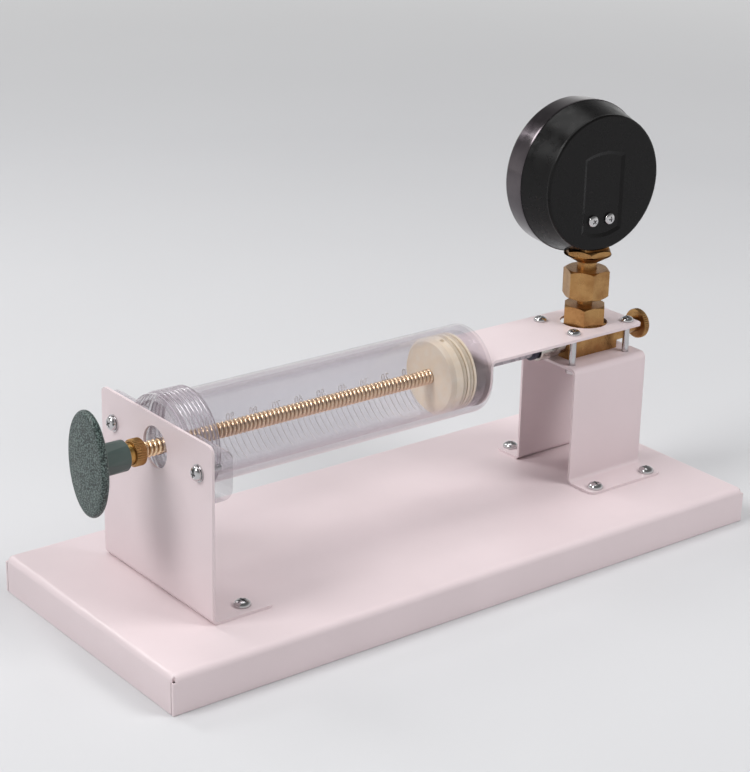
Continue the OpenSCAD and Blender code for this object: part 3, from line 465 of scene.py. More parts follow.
@dataclass(frozen=True)
class MouldedPlastic:
    """Moulded plastic or rubber, plain or stippled.

    With front_x, only what lies before that X in millimetres is stippled.
    """

    name: str
    colour: tuple
    fleck: tuple
    roughness: float
    grain_mm: float = 1.0
    relief_mm: float = 0.05
    relief: float = 0.3
    shine: float = 0.5
    front_x: float | None = None
    even: float = 0.53

    def make(self) -> Material:
        """Build the material.

        Returns:
            The finished material.
        """
        graph = Graph(self.name)
        grain = graph.noise(self.grain_mm, 2.0)
        if self.front_x is not None:
            front = graph.calc("LESS_THAN", graph.parts()["X"], self.front_x * MM)
            grain = graph.calc("MULTIPLY_ADD", graph.calc("SUBTRACT", grain, self.even), front, self.even)
        colour = graph.ramp(grain, 0.46, 0.6, self.colour, self.fleck)
        cloud = graph.noise(self.grain_mm * 9, 2.0)
        rough = graph.spread(cloud, self.roughness - 0.05, self.roughness + 0.07)
        normal = graph.bump(grain, self.relief_mm, self.relief)
        return graph.surface(
            Base_Color=colour, Roughness=rough, Normal=normal, Specular_IOR_Level=self.shine)


@dataclass(frozen=True)
class CloudyHose:
    """Soft see-through tube, clouded by its plasticiser."""

    name: str
    colour: tuple

    def make(self) -> Material:
        """Build the material.

        Returns:
            The finished material.
        """
        graph = Graph(self.name)
        cloud = graph.noise(3.0, 3.0)
        colour = graph.ramp(cloud, 0.35, 0.65, tinted(self.colour, 0.9), self.colour)
        normal = graph.bump(graph.noise(1.2, 1.0, graph.stretched((0.2, 1.0, 1.0))), 0.05, 0.3)
        rough = graph.spread(cloud, 0.22, 0.34)
        return graph.surface(
            Base_Color=colour, Roughness=rough, Normal=normal, Transmission_Weight=0.15, IOR=1.4)


class Finishes:
    """Every finish of the apparatus, by the record's slot name."""

    def __init__(self, at: "Stations") -> None:
        """Make the materials.

        Args:
            at: Stations of the apparatus, for finishes that follow its axis.
        """
        clear, smoky = (0.975, 0.97, 0.975, 1.0), (0.95, 0.943, 0.955, 1.0)
        pale = shade(186, 176, 184)
        rim = outer_radius("barrel_cap")
        # Painted highlight lines along the cap's rib valleys.
        ribs = Ribs(span("barrel_cap", 0)[1], 1.8, at.axis_y, at.axis_z, rim - 1.4, rim + 0.1, 0.85)
        hub_x = span("hand_knob", 0)[0] + 3.2
        makers = (
            PowderCoat("white_coat", shade(229, 213, 215)),
            TurnedMetal("zinc", shade(206, 205, 206), shade(188, 187, 188), 0.16, mark_mm=0.8),
            TurnedMetal("bright_brass", shade(204, 164, 98), shade(190, 150, 86), 0.3, mark_mm=0.3),
            TurnedMetal(
                "satin_brass", shade(182, 142, 92), shade(156, 114, 70), 0.3,
                (1.0, 1.0, 0.2), 0.35, 0.2, 6.0),
            # Thread brass: its second colour is painted shade, darker towards the thread's root.
            ThreadedBrass(
                "thread_brass", shade(240, 212, 176), shade(172, 136, 100), 0.3,
                at.axis_y, at.axis_z, 2.2, 3.2),
            TurnedMetal("copper", shade(204, 132, 96), shade(176, 108, 78), 0.35),
            TurnedMetal("nickel", shade(190, 185, 178), shade(166, 160, 152), 0.2, mark_mm=0.4),
            TurnedMetal("bezel_black", shade(96, 90, 93), shade(78, 72, 76), 0.16, mark_mm=6.0, relief=0.05),
            ClearPlastic("clear_tube", smoky, pale, 0.03, 0.6, 0.03, 14.0, 0.01),
            ClearPlastic("clear_cap", clear, pale, 0.12, 1.0, 0.05, 4.0, 0.008, ribs),
            ClearPlastic("clear_plug", clear, pale, 0.03, 0.35, 0.03, 9.0, 0.01),
            ClearPlastic("window_glass", clear, pale, 0.01, 0.3, 0.02, 30.0, 0.01),
            CloudyHose("hose_grey", shade(196, 192, 198)),
            MouldedPlastic("seal_rubber", shade(28, 28, 28), shade(36, 36, 36), 0.6),
            MouldedPlastic("silicone", shade(222, 208, 182), shade(228, 215, 190), 0.5, 2.0, 0.02, 0.2),
            MouldedPlastic("nylon", shade(253, 238, 210), shade(254, 243, 219), 0.5, 3.0, 0.02, 0.2),
            MouldedPlastic("ring_navy", shade(30, 36, 56), shade(36, 42, 62), 0.35),
            MouldedPlastic("gauge_black", shade(9, 8, 8), shade(12, 11, 11), 0.28, 0.5, 0.01, 0.15, 0.22),
            MouldedPlastic("dial_white", shade(238, 238, 234), shade(243, 243, 240), 0.55, 5.0, 0.01, 0.1),
            MouldedPlastic("pointer_black", shade(20, 20, 20), shade(26, 26, 26), 0.5),
            MouldedPlastic(
                "knob_green", shade(34, 44, 42), shade(102, 118, 113), 0.4, 0.6, 0.1, 0.9, front_x=hub_x),
        )
        self.made = {maker.name: maker.make() for maker in makers}

    def of(self, slot: str) -> Material:
        """Finish of a slot."""
        return self.made[slot]

    def dress_solids(self) -> None:
        """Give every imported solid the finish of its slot."""
        for row in frame["record"]["subparts"]:
            solid = frame["nodes"][row["node"]]
            finish = self.of("clear_plug" if row["node"] == "end_plug" else row["material_slot"])
            dress(solid, finish)
            log.info("%s keeps its solid, in %s", row["node"], finish.name)


# ---- mesh work ----


def finished(bm: bmesh.types.BMesh, name: str, smooth_deg: float = 35.0) -> Object:
    """Turn mesh work into an object at the origin.

    Args:
        bm: The mesh work, in metres and in place. It is freed.
        name: Name of the piece.
        smooth_deg: Edges sharper than this stay sharp.

    Returns:
        The object, linked to the scene.
    """
    bmesh.ops.remove_doubles(bm, verts=bm.verts, dist=1e-7)
    bmesh.ops.recalc_face_normals(bm, faces=bm.faces)
    limit = math.radians(smooth_deg)
    for face in bm.faces:
        face.smooth = True
    for edge in bm.edges:
        edge.smooth = len(edge.link_faces) == 2 and edge.calc_face_angle(math.pi) < limit
    mesh = bpy.data.meshes.new(name)
    bm.to_mesh(mesh)
    bm.free()
    piece = bpy.data.objects.new(name, mesh)
    bpy.context.scene.collection.objects.link(piece)
    return piece


def dress(shape: Object, finish: Material) -> None:
    """Give a whole shape one material.

    Args:
        shape: The solid or piece.
        finish: Its material.
    """
    shape.data.materials.clear()
    shape.data.materials.append(finish)
    for face in shape.data.polygons:
        face.material_index = 0


def place_piece(piece: Object, body: Body, slot: Slot, finish: Material, *nodes: str) -> Object:
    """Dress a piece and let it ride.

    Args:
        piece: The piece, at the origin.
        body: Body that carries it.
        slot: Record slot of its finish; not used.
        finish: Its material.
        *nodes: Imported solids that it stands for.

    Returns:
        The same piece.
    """
    dress(piece, finish)
    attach(piece, body.value)
    if nodes:
        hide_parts(*nodes)
    log.info("%s: %d faces on %s", piece.name, len(piece.data.polygons), body.value)
    return piece


def grid_shell(rings: list[list[Vector]], bm: bmesh.types.BMesh) -> None:
    """Skin closed rings into a shell with capped ends.

    Args:
        rings: Rings of equal length, from one end to the other.
        bm: Mesh work that takes the shell.
    """
    loops = [[bm.verts.new(point) for point in ring] for ring in rings]
    count = len(loops[0])
    for near, far in zip(loops, loops[1:]):
        for i in range(count):
            j = (i + 1) % count
            bm.faces.new((near[i], near[j], far[j], far[i]))
    bm.faces.new(loops[0][::-1])
    bm.faces.new(loops[-1])


def revolve(profile: list[tuple[float, float]], segments: int = 96) -> bmesh.types.BMesh:
    """Turn a closed outline about Z.

    Args:
        profile: Points of radius and height in millimetres, round the section in order.
        segments: Steps round the axis.

    Returns:
        Mesh work in metres with its axis on Z.
    """
    bm = bmesh.new()
    rings = []
    profile = [point for i, point in enumerate(profile) if math.dist(point, profile[i - 1]) > 1e-6]
    for step in range(segments):
        turn = 2 * math.pi * step / segments
        ring = []
        for radius, height in profile:
            ring.append(Vector((radius * math.cos(turn), radius * math.sin(turn), height)) * MM)
        rings.append([bm.verts.new(point) for point in ring])
    count = len(profile)
    for step in range(segments):
        near, far = rings[step], rings[(step + 1) % segments]
        for i in range(count):
            j = (i + 1) % count
            if profile[i][0] < 1e-6 and profile[j][0] < 1e-6:
                continue
            corners = []
            for vert in (near[i], far[i], far[j], near[j]):
                if all((vert.co - other.co).length > 1e-9 for other in corners):
                    corners.append(vert)
            bm.faces.new(corners)
    return bm


class Tree(Nodes):
    """Geometry node tree with named inputs."""

    def __init__(self, name: str, **sizes: int | float | None) -> None:
        """Start the tree and its inputs.

        Args:
            name: Name of the tree.
            **sizes: Input names with their starting values, None for an input that takes an object.
        """
        super().__init__(bpy.data.node_groups.new(name, "GeometryNodeTree"))
        self.tree.interface.new_socket("Geometry", in_out="INPUT", socket_type="NodeSocketGeometry")
        self.keys: dict[str, str] = {}
        kinds = {int: "NodeSocketInt", float: "NodeSocketFloat", type(None): "NodeSocketObject"}
        for label, value in sizes.items():
            socket = self.tree.interface.new_socket(label, in_out="INPUT", socket_type=kinds[type(value)])
            if value is not None:
                socket.default_value = value
            self.keys[label] = socket.identifier
        self.tree.interface.new_socket("Geometry", in_out="OUTPUT", socket_type="NodeSocketGeometry")
        self.inlet = self.tree.nodes.new("NodeGroupInput")
        self.outlet = self.tree.nodes.new("NodeGroupOutput")

    def size(self, label: str) -> Socket:
        """Socket of a named input."""
        return self.inlet.outputs[label]

    def arc(self, fineness: int) -> Socket:
        """Arc of the inputs Radius, Start and Sweep.

        Args:
            fineness: Number of its points.

        Returns:
            The curve.
        """
        ends = {"Start_Angle": self.size("Start"), "Sweep_Angle": self.size("Sweep")}
        return self.add(
            "GeometryNodeCurveArc", Radius=self.size("Radius"), Resolution=fineness, **ends).outputs[0]

    def on_points(self, points: Socket, shape: Socket, turn: Socket | None = None) -> Socket:
        """Put a shape on every point.

        Args:
            points: The points.
            shape: The shape.
            turn: Rotation at each point, none if left out.

        Returns:
            The shapes.
        """
        inputs = {"Points": points, "Instance": shape}
        if turn is not None:
            inputs["Rotation"] = turn
        return self.add("GeometryNodeInstanceOnPoints", **inputs).outputs[0]

    def close(self, shape: Socket, finish: Material) -> None:
        """End the tree with real geometry in its finish.

        Args:
            shape: Geometry to end with.
            finish: Material of the result.
        """
        real = self.add("GeometryNodeRealizeInstances", Geometry=shape)
        dressed = self.add("GeometryNodeSetMaterial", Geometry=real.outputs["Geometry"], Material=finish)
        self.tree.links.new(dressed.outputs["Geometry"], self.outlet.inputs["Geometry"])

    def run(
        self, name: str, values: dict[str, object], base: bpy.types.Mesh | None = None,
        place: Matrix | None = None
    ) -> Object:
        """Evaluate the tree on a mesh and keep the plain result.

        Args:
            name: Name of the piece.
            values: Values of the named inputs.
            base: Mesh that the tree starts from, an empty one if left out.
            place: Matrix that is applied to the result's points.

        Returns:
            The piece, at the origin.
        """
        holder = bpy.data.objects.new(name + "_base", base or bpy.data.meshes.new("seed"))
        bpy.context.scene.collection.objects.link(holder)
        modifier = holder.modifiers.new("nodes", "NODES")
        modifier.node_group = self.tree
        for label, value in values.items():
            modifier[self.keys[label]] = value
        bpy.context.view_layer.update()
        seen = holder.evaluated_get(bpy.context.evaluated_depsgraph_get())
        mesh = bpy.data.meshes.new_from_object(seen)
        holder.modifiers.remove(modifier)
        bpy.data.objects.remove(holder)
        bm = bmesh.new()
        bm.from_mesh(mesh)
        if place is not None:
            bm.transform(place)
        return finished(bm, name)


def dots(points: list[Vector], facing: list[Vector]) -> bpy.types.Mesh:
    """Mesh of loose points, each with the way that it faces.

    Args:
        points: Places in metres.
        facing: Direction at each place.

    Returns:
        The mesh, with a vector attribute named facing.
    """
    mesh = bpy.data.meshes.new("dots")
    mesh.from_pydata([tuple(point) for point in points], [], [])
    rows = mesh.attributes.new("facing", "FLOAT_VECTOR", "POINT")
    for item, way in zip(rows.data, facing):
        item.vector = way
    return mesh


@dataclass
class Stations:
    """Places of the main pieces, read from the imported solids, in millimetres."""

    axis_y: float = 0.0
    axis_z: float = 0.0
    gauge_x: float = 0.0
    gauge_z: float = 0.0

    def read(self) -> "Stations":
        """Read the cylinder's axis and the gauge's centre.

        Returns:
            The same stations, filled in.
        """
        self.axis_y, self.axis_z = (sum(span("barrel", axis)) / 2 for axis in (1, 2))
        self.gauge_x = sum(span("union_nut", 0)) / 2
        self.gauge_z = sum(span("gauge_window", 2)) / 2
        return self

    def around(self, x: float, radius: float, turn: float) -> Vector:
        """Point beside the cylinder's axis.

        Args:
            x: X in millimetres.
            radius: Distance from the axis in millimetres.
            turn: Angle from +Y towards +Z in radians.

        Returns:
            The point in metres.
        """
        return Vector((x, self.axis_y + radius * math.cos(turn), self.axis_z + radius * math.sin(turn))) * MM

    def lying(self, way: int = 1) -> Matrix:
        """Matrix that lays a piece built about Z on the cylinder's axis.

        Args:
            way: 1 where its Z runs to +X, -1 where it runs to -X.

        Returns:
            The matrix, in metres.
        """
        axis = Matrix.Translation((0, self.axis_y * MM, self.axis_z * MM))
        return axis @ Matrix.Rotation(way * math.pi / 2, 4, "Y")


def span(node: str, axis: int) -> tuple[float, float]:
    """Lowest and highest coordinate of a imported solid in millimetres.

    Args:
        node: Name of the solid.
        axis: 0 for X, 1 for Y, 2 for Z.

    Returns:
        The two coordinates.
    """
    low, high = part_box(node)
    return low[axis] / MM, high[axis] / MM


def outer_radius(node: str) -> float:
    """Outside radius in millimetres of a round solid that lies along X."""
    low, high = span(node, 2)
    return (high - low) / 2


def letters(text: str, size: float, thick: float, fineness: int) -> bpy.types.Mesh:
    """Flat letters with a thickness, centred on the origin.

    Args:
        text: What they say.
        size: Height of the type.
        thick: How far the faces lie before and behind the middle.
        fineness: Steps in each curve.

    Returns:
        The mesh, in millimetres.
    """
    words = bpy.data.curves.new("letters", "FONT")
    words.body, words.size, words.extrude, words.resolution_u = text, size, thick, fineness
    words.align_x = words.align_y = "CENTER"
    holder = bpy.data.objects.new("letters", words)
    bpy.context.scene.collection.objects.link(holder)
    bpy.context.view_layer.update()
    mesh = bpy.data.meshes.new_from_object(holder.evaluated_get(bpy.context.evaluated_depsgraph_get()))
    bpy.data.objects.remove(holder)
    return mesh


@dataclass(frozen=True)
class ScrewSet:
    """Pan-head screws with cross recesses, one mesh for each set.

    The recess's arm, width and depth are shares of the head, and spin is the turn from one to the next.
    """

    head_r: float
    head_h: float
    shank_r: float
    length: float
    rim: float = 0.35
    dome_steps: int = 8
    arm: float = 0.62
    wide: float = 0.15
    deep: float = 0.62
    spin: float = 0.6

    def pattern(self) -> Object:
        """Build one screw with its head's underside at the origin and its axis on +Z.

        Returns:
            The screw.
        """
        dome = []
        for step in range(self.dome_steps + 1):
            angle = math.radians(90 * step / self.dome_steps)
            height = self.rim + (self.head_h - self.rim) * math.sin(angle)
            dome.append((self.head_r * math.cos(angle) ** 0.75, height))
        tip = -self.length
        shank = [(0, tip), (self.shank_r - 0.5, tip), (self.shank_r, tip + 0.5), (self.shank_r, 0)]
        profile = [*shank, (self.head_r - 0.2, 0), (self.head_r, 0.2), *dome[:-1], (0, self.head_h)]
        head = finished(revolve(profile, 40), "screw_pattern", 40)
        arm, wide, deep = self.head_r * self.arm, self.head_r * self.wide, self.head_h * self.deep
        cut = bmesh.new()
        for turn in (0, 90):
            piece = bmesh.ops.create_cube(cut, size=1.0)["verts"]
            for vert in piece:
                low = vert.co.z < 0
                vert.co.x *= 2 * arm * (0.35 if low else 1.0)
                vert.co.y *= 2 * wide * (0.5 if low else 1.0)
                vert.co.z = self.head_h + 0.5 if not low else self.head_h - deep
                vert.co *= MM
            quarter = Matrix.Rotation(math.radians(turn), 3, "Z")
            bmesh.ops.rotate(cut, verts=piece, cent=(0, 0, 0), matrix=quarter)
        cutter = finished(cut, "recess_cutter")
        boolean = head.modifiers.new("recess", "BOOLEAN")
        boolean.operation = "DIFFERENCE"
        boolean.solver = "EXACT"
        boolean.use_self = True
        boolean.object = cutter
        bpy.context.view_layer.update()
        mesh = bpy.data.meshes.new_from_object(head.evaluated_get(bpy.context.evaluated_depsgraph_get()))
        bpy.data.objects.remove(head)
        bpy.data.objects.remove(cutter)
        bm = bmesh.new()
        bm.from_mesh(mesh)
        return finished(bm, "screw_pattern", 38)

    def build(self, name: str, seats: list[Vector], ways: list[Vector], finish: Material) -> Object:
        """Set a screw on every seat.

        Args:
            name: Name of the set.
            seats: Places under the heads, in metres.
            ways: Direction of each head.
            finish: Material of the screws.

        Returns:
            The set as one piece.
        """
        screw = self.pattern()
        tree = Tree("screws_on_seats", Screw=None, Turn=self.spin)
        info = tree.add("GeometryNodeObjectInfo", Object=tree.size("Screw"))
        way = tree.add("GeometryNodeInputNamedAttribute", {"data_type": "FLOAT_VECTOR"}, Name="facing")
        turn = tree.add("FunctionNodeAlignRotationToVector", {"axis": "Z"}, Vector=way.outputs["Attribute"])
        index = tree.add("GeometryNodeInputIndex").outputs[0]
        euler = tree.add("ShaderNodeCombineXYZ", Z=tree.calc("MULTIPLY", index, tree.size("Turn")))
        own = tree.add("FunctionNodeEulerToRotation", Euler=euler.outputs[0])
        both = tree.add(
            "FunctionNodeRotateRotation", {"rotation_space": "LOCAL"},
            Rotation=turn.outputs[0], Rotate_By=own.outputs[0])
        points = tree.add("GeometryNodeMeshToPoints", Mesh=tree.size("Geometry"))
        tree.close(tree.on_points(points.outputs[0], info.outputs["Geometry"], both.outputs[0]), finish)
        piece = tree.run(name, {"Screw": screw, "Turn": self.spin}, dots(seats, ways))
        bpy.data.objects.remove(screw)
        return piece


@dataclass
class Bench:
    """Screws of the tray, bracket, stand, bridge and cap."""

    finishes: Finishes
    sheet: float = 1.2
    big: ScrewSet = ScrewSet(3.48, 2.48, 1.95, 7.9)
    small: ScrewSet = ScrewSet(3.03, 2.16, 1.48, 18.6)
    lug: ScrewSet = ScrewSet(3.03, 2.16, 1.48, 10.5)

    def screw_places(self, node: str, head: float) -> list[tuple[float, float]]:
        """Axes of a node's upright screws.

        Args:
            node: Name of the screws' solid.
            head: Radius of their heads in millimetres.

        Returns:
            X and Y of each screw in millimetres.
        """
        (x0, x1), (y0, y1) = span(node, 0), span(node, 1)
        one_row = x1 - x0 < 4 * head
        xs = ((x0 + x1) / 2,) if one_row else (x0 + head, x1 - head)
        return [(x, y) for x in xs for y in (y0 + head, y1 - head)]

    def place(self, name: str, screws: ScrewSet, seats: list[tuple], way: tuple, *nodes: str) -> None:
        """Set one kind of screw on its seats.

        Args:
            name: Name of the set.
            screws: The kind of screw.
            seats: Places under the heads in millimetres.
            way: Direction of every head.
            *nodes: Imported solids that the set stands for.
        """
        zinc = self.finishes.of("zinc")
        points = [Vector(seat) * MM for seat in seats]
        piece = screws.build(name, points, [Vector(way)] * len(points), zinc)
        place_piece(piece, Body.FRAME, Slot.ZINC, zinc, *nodes)

    def build(self) -> None:
        """Build the screw sets."""
        feet_z = span("end_bracket", 2)[0] + self.sheet
        feet = [
            (x, y, feet_z) for node in ("bracket_screws", "stand_screws")
            for x, y in self.screw_places(node, self.big.head_r)]
        self.place("foot_screws", self.big, feet, (0, 0, 1), "bracket_screws", "stand_screws")
        top = span("bridge_screws", 2)[1] - self.small.head_h
        clamps = [(x, y, top) for x, y in self.screw_places("bridge_screws", self.small.head_r)]
        self.place("clamp_screws", self.small, clamps, (0, 0, 1), "bridge_screws")
        left, middle = span("cap_washers", 0)[0], sum(span("cap_screws", 2)) / 2
        y0, y1 = span("cap_screws", 1)
        lugs = [(left, y, middle) for y in (y0 + self.lug.head_r, y1 - self.lug.head_r)]
        self.place("lug_screws", self.lug, lugs, (-1, 0, 0), "cap_screws")


@dataclass
class Drive:
    """Lead screw, lock nut and the hand knob's brass insert."""

    finishes: Finishes
    at: Stations
    pitch: float = 2.0
    crest_r: float = 3.25
    root_r: float = 2.2
    groove_r: float = 2.25
    groove_w: float = 2.2
    chamfer: float = 0.8
    lead_in: float = 1.5
    per_turn: int = 14
    round_steps: int = 36
    flutes: int = 38
    bore_r: float = 3.3
    nut_sunk: float = 1.3
    neck_r: float = 4.3
    collar_r: float = 5.6

    def thread_radius(self, phase: float) -> float:
        """Radius of the rounded thread.

        Args:
            phase: Place along the pitch, 0 to 1.

        Returns:
            Radius in millimetres.
        """
        wave = 0.5 + 0.5 * math.cos(2 * math.pi * phase)
        return self.root_r + (self.crest_r - self.root_r) * wave ** 0.45

    def lead_screw(self) -> Object:
        """Build the screw with its helical thread and its turned journal.

        Returns:
            The piece.
        """
        x0, x1 = span("lead_screw", 0)
        piston_x = span("piston", 0)[0]
        groove, threaded = piston_x + 2.6, piston_x + 0.4
        turns = [2 * math.pi * i / self.round_steps for i in range(self.round_steps)]
        steps = int((threaded - x0) / self.pitch * self.per_turn)
        rings = []
        for step in range(steps + 1):
            x = x0 + (threaded - x0) * step / steps
            fade = min(1.0, max(0.0, (x - x0) / self.lead_in))
            ring = []
            for turn in turns:
                r = self.thread_radius((x / self.pitch + turn / (2 * math.pi)) % 1.0)
                r = (self.crest_r - self.chamfer) * (1 - fade) + r * fade
                ring.append(self.at.around(x, r, turn))
            rings.append(ring)
        journal = (
            (threaded + 0.01, self.crest_r), (groove, self.crest_r), (groove, self.groove_r),
            (groove + self.groove_w, self.groove_r), (groove + self.groove_w, self.crest_r),
            (x1 - self.chamfer, self.crest_r), (x1, self.crest_r - self.chamfer))
        rings += [[self.at.around(x, r, turn) for turn in turns] for x, r in journal]
        bm = bmesh.new()
        grid_shell(rings, bm)
        return finished(bm, "threaded_screw", 50)

    def lock_nut(self) -> Object:
        """Build the fluted lock nut, its outer face turned out."""
        ring = FlutedRing(outer_radius("lock_nut"), self.bore_r, self.flutes, self.nut_sunk)
        return ring.build("fluted_nut", *span("lock_nut", 0), self.at)

    def insert(self) -> Object:
        """Build the knob's brass insert, with a collar on the hub and a neck up to the nut.

        Returns:
            The piece.
        """
        x0, x1 = span("knob_insert", 0)
        collar = [
            (self.collar_r - 0.2, x0), (self.collar_r, x0 + 0.2), (self.collar_r, x0 + 0.5),
            (self.neck_r, x0 + 0.7)]
        bm = revolve([(self.bore_r, x0), *collar, (self.neck_r, x1), (self.bore_r, x1)], 64)
        bm.transform(self.at.lying())
        return finished(bm, "turned_insert", 30)

    def build(self) -> None:
        """Build and place the drive's pieces."""
        for piece, slot, finish, node in (
            (self.lead_screw(), Slot.SATIN_BRASS, "thread_brass", "lead_screw"),
            (self.lock_nut(), Slot.SATIN_BRASS, "satin_brass", "lock_nut"),
            (self.insert(), Slot.BRIGHT_BRASS, "bright_brass", "knob_insert")):
            place_piece(piece, Body.SCREW, slot, self.finishes.of(finish), node)


@dataclass
class FlutedRing:
    """Turned ring with straight flutes round its rim. With sunk, the face at its lowest X is turned out."""

    outer: float
    bore: float
    flutes: int
    sunk: float = 0.0
    depth: float = 0.3
    bevel: float = 0.5
    per_flute: int = 8

    def outline(self, x0: float, x1: float) -> list[tuple[float, float, float]]:
        """Section of the ring.

        Args:
            x0: Lowest X in millimetres.
            x1: Highest X.

        Returns:
            Radius, X and share of the flutes' depth, point by point.
        """
        flat, half = self.outer - self.bevel - 0.1, self.outer - self.bevel * 0.5
        inset = self.bevel * 0.35
        face = [(self.bore, x0, 0.0)]
        if self.sunk:
            floor = x0 + self.sunk
            face = [(self.bore, floor, 0.0), (self.outer - 1.1, floor, 0.0), (self.outer - 1.0, x0, 0.0)]
        return [
            *face, (flat, x0, 0.0), (half, x0 + inset, 0.4), (self.outer, x0 + self.bevel, 1.0),
            (self.outer, x1 - self.bevel, 1.0), (half, x1 - inset, 0.4), (flat, x1, 0.0),
            (self.bore, x1, 0.0)]

    def build(self, name: str, x0: float, x1: float, at: Stations) -> Object:
        """Build the ring on the cylinder's axis.

        Args:
            name: Name of the piece.
            x0: Lowest X in millimetres.
            x1: Highest X.
            at: Stations of the apparatus.

        Returns:
            The piece, at the origin.
        """
        bm = bmesh.new()
        rings = []
        outline = self.outline(x0, x1)
        count = self.flutes * self.per_flute
        for i in range(count):
            turn = 2 * math.pi * i / count
            cut = self.depth * abs(math.cos(math.pi * i / self.per_flute)) ** 0.8
            points = [at.around(x, radius - cut * share, turn) for radius, x, share in outline]
            rings.append([bm.verts.new(point) for point in points])
        for i in range(count):
            near, far = rings[i], rings[(i + 1) % count]
            for k in range(len(near)):
                j = (k + 1) % len(near)
                bm.faces.new((near[k], far[k], far[j], near[j]))
        return finished(bm, name, 30)


@dataclass
class Cylinder:
    """Raised volume scale on the clear cylinder."""

    finishes: Finishes
    at: Stations
    step: float = 2.836
    per_number: int = 4
    first_mark: float = 33.5
    marks: int = 42
    type_size: float = 4.4
    type_relief: float = 0.06
    minor: tuple = (112, 43, 0.17)
    major: tuple = (107, 53, 0.19)

    def ring_tree(self, finish: Material) -> Tree:
        """Node tree that repeats an arc mark along X.

        Args:
            finish: Material of the marks.

        Returns:
            The tree.
        """
        tree = Tree("marks_on_wall", Count=10, Step=0.00284, Radius=0.019, Start=0.0, Sweep=1.0, Half=0.0001)
        edge = tree.add("GeometryNodeCurvePrimitiveCircle", Radius=tree.size("Half"), Resolution=6).outputs[0]
        mark = tree.add("GeometryNodeCurveToMesh", Curve=tree.arc(24), Profile_Curve=edge, Fill_Caps=True)
        offset = tree.add("ShaderNodeCombineXYZ", Z=tree.size("Step"))
        line = tree.add("GeometryNodeMeshLine", Count=tree.size("Count"), Offset=offset.outputs[0])
        tree.close(tree.on_points(line.outputs[0], mark.outputs[0]), finish)
        return tree

    def numbers(self) -> Object:
        """Build the raised numbers, wrapped on the wall and read from +Y.

        Returns:
            The numbers as one piece.
        """
        radius = outer_radius("barrel") + 0.02
        bm = bmesh.new()
        for k in range(1, self.marks // self.per_number + 1):
            x = self.first_mark - k * self.per_number * self.step
            mesh = letters(str(k * 10), self.type_size, self.type_relief, 3)
            piece = bmesh.new()
            piece.from_mesh(mesh)
            long = [edge for edge in piece.edges if edge.calc_length() > 0.8]
            bmesh.ops.subdivide_edges(piece, edges=long, cuts=2)
            for vert in piece.verts:
                turn = (vert.co.y - self.type_size) / radius
                vert.co = self.at.around(x - vert.co.x, radius + vert.co.z, turn)
            piece.to_mesh(mesh)
            piece.free()
            bm.from_mesh(mesh)
        return finished(bm, "scale_numbers")

    def build(self) -> None:
        """Build the scale."""
        finish = self.finishes.of("dial_white")
        tree = self.ring_tree(finish)
        zero = Matrix.Translation((self.first_mark * MM, 0, 0)) @ self.at.lying(-1)
        for name, every, (start, sweep, half) in (
            ("scale_marks", 1, self.minor), ("scale_tens", self.per_number, self.major)):
            count = self.marks if every == 1 else self.marks // every + 1
            piece = tree.run(name, {
                "Count": count, "Step": self.step * every * MM, "Radius": outer_radius("barrel") * MM,
                "Start": math.radians(start), "Sweep": math.radians(sweep), "Half": half * MM}, place=zero)
            place_piece(piece, Body.FRAME, Slot.CLEAR_TUBE, finish)
        place_piece(self.numbers(), Body.FRAME, Slot.CLEAR_TUBE, finish)


@dataclass
class Manifold:
    """Vent screw of the manifold block."""

    finishes: Finishes
    at: Stations
    flutes: int = 44
    disc_t: float = 3.0
    hub_l: float = 6.5
    nose: float = 0.4
    needle_r: float = 1.6
    thread_r: float = 2.48
    root_r: float = 2.1
    pitch: float = 0.75
    hub_r: float = 3.5

    def vent(self) -> Object:
        """Build the vent screw with its fluted disc and its needle.

        Returns:
            The piece.
        """
        x0, x1 = span("vent_screw", 0)
        outer = outer_radius("vent_screw")
        disc = x1 - self.nose - self.disc_t
        hub = disc - self.hub_l
        seal = hub - 7.6
        profile = [
            (0, x0), (0.55, x0), (self.needle_r, x0 + 1.8), (self.needle_r, seal), (self.thread_r, seal),
            (self.thread_r, seal + 0.6), (1.3, seal + 0.6), (1.3, seal + 1.9), (self.thread_r, seal + 1.9)]
        turn = seal + 2.4
        while turn + self.pitch < hub - 0.3:
            crest = (self.thread_r, turn + self.pitch / 2)
            profile += [(self.root_r, turn), crest, (self.root_r, turn + self.pitch)]
            turn += self.pitch
        profile += [
            (self.thread_r, hub), (3.1, hub), (self.hub_r, hub + 0.4), (self.hub_r, disc + 0.05),
            (outer - 1.2, disc + 0.05), (outer - 1.2, x1 - 0.5), (3.0, x1 - 0.5), (2.6, x1), (0, x1)]
        bm = revolve(profile, 64)
        bm.transform(self.at.lying())
        ring = FlutedRing(outer, outer - 1.6, self.flutes).build("vent_rim", disc, x1 - self.nose, self.at)
        bm.from_mesh(ring.data)
        bpy.data.objects.remove(ring)
        return finished(bm, "fluted_vent")

    def build(self) -> None:
        """Build and place the manifold's pieces."""
        place_piece(self.vent(), Body.VENT, Slot.BRIGHT_BRASS, self.finishes.of("satin_brass"), "vent_screw")


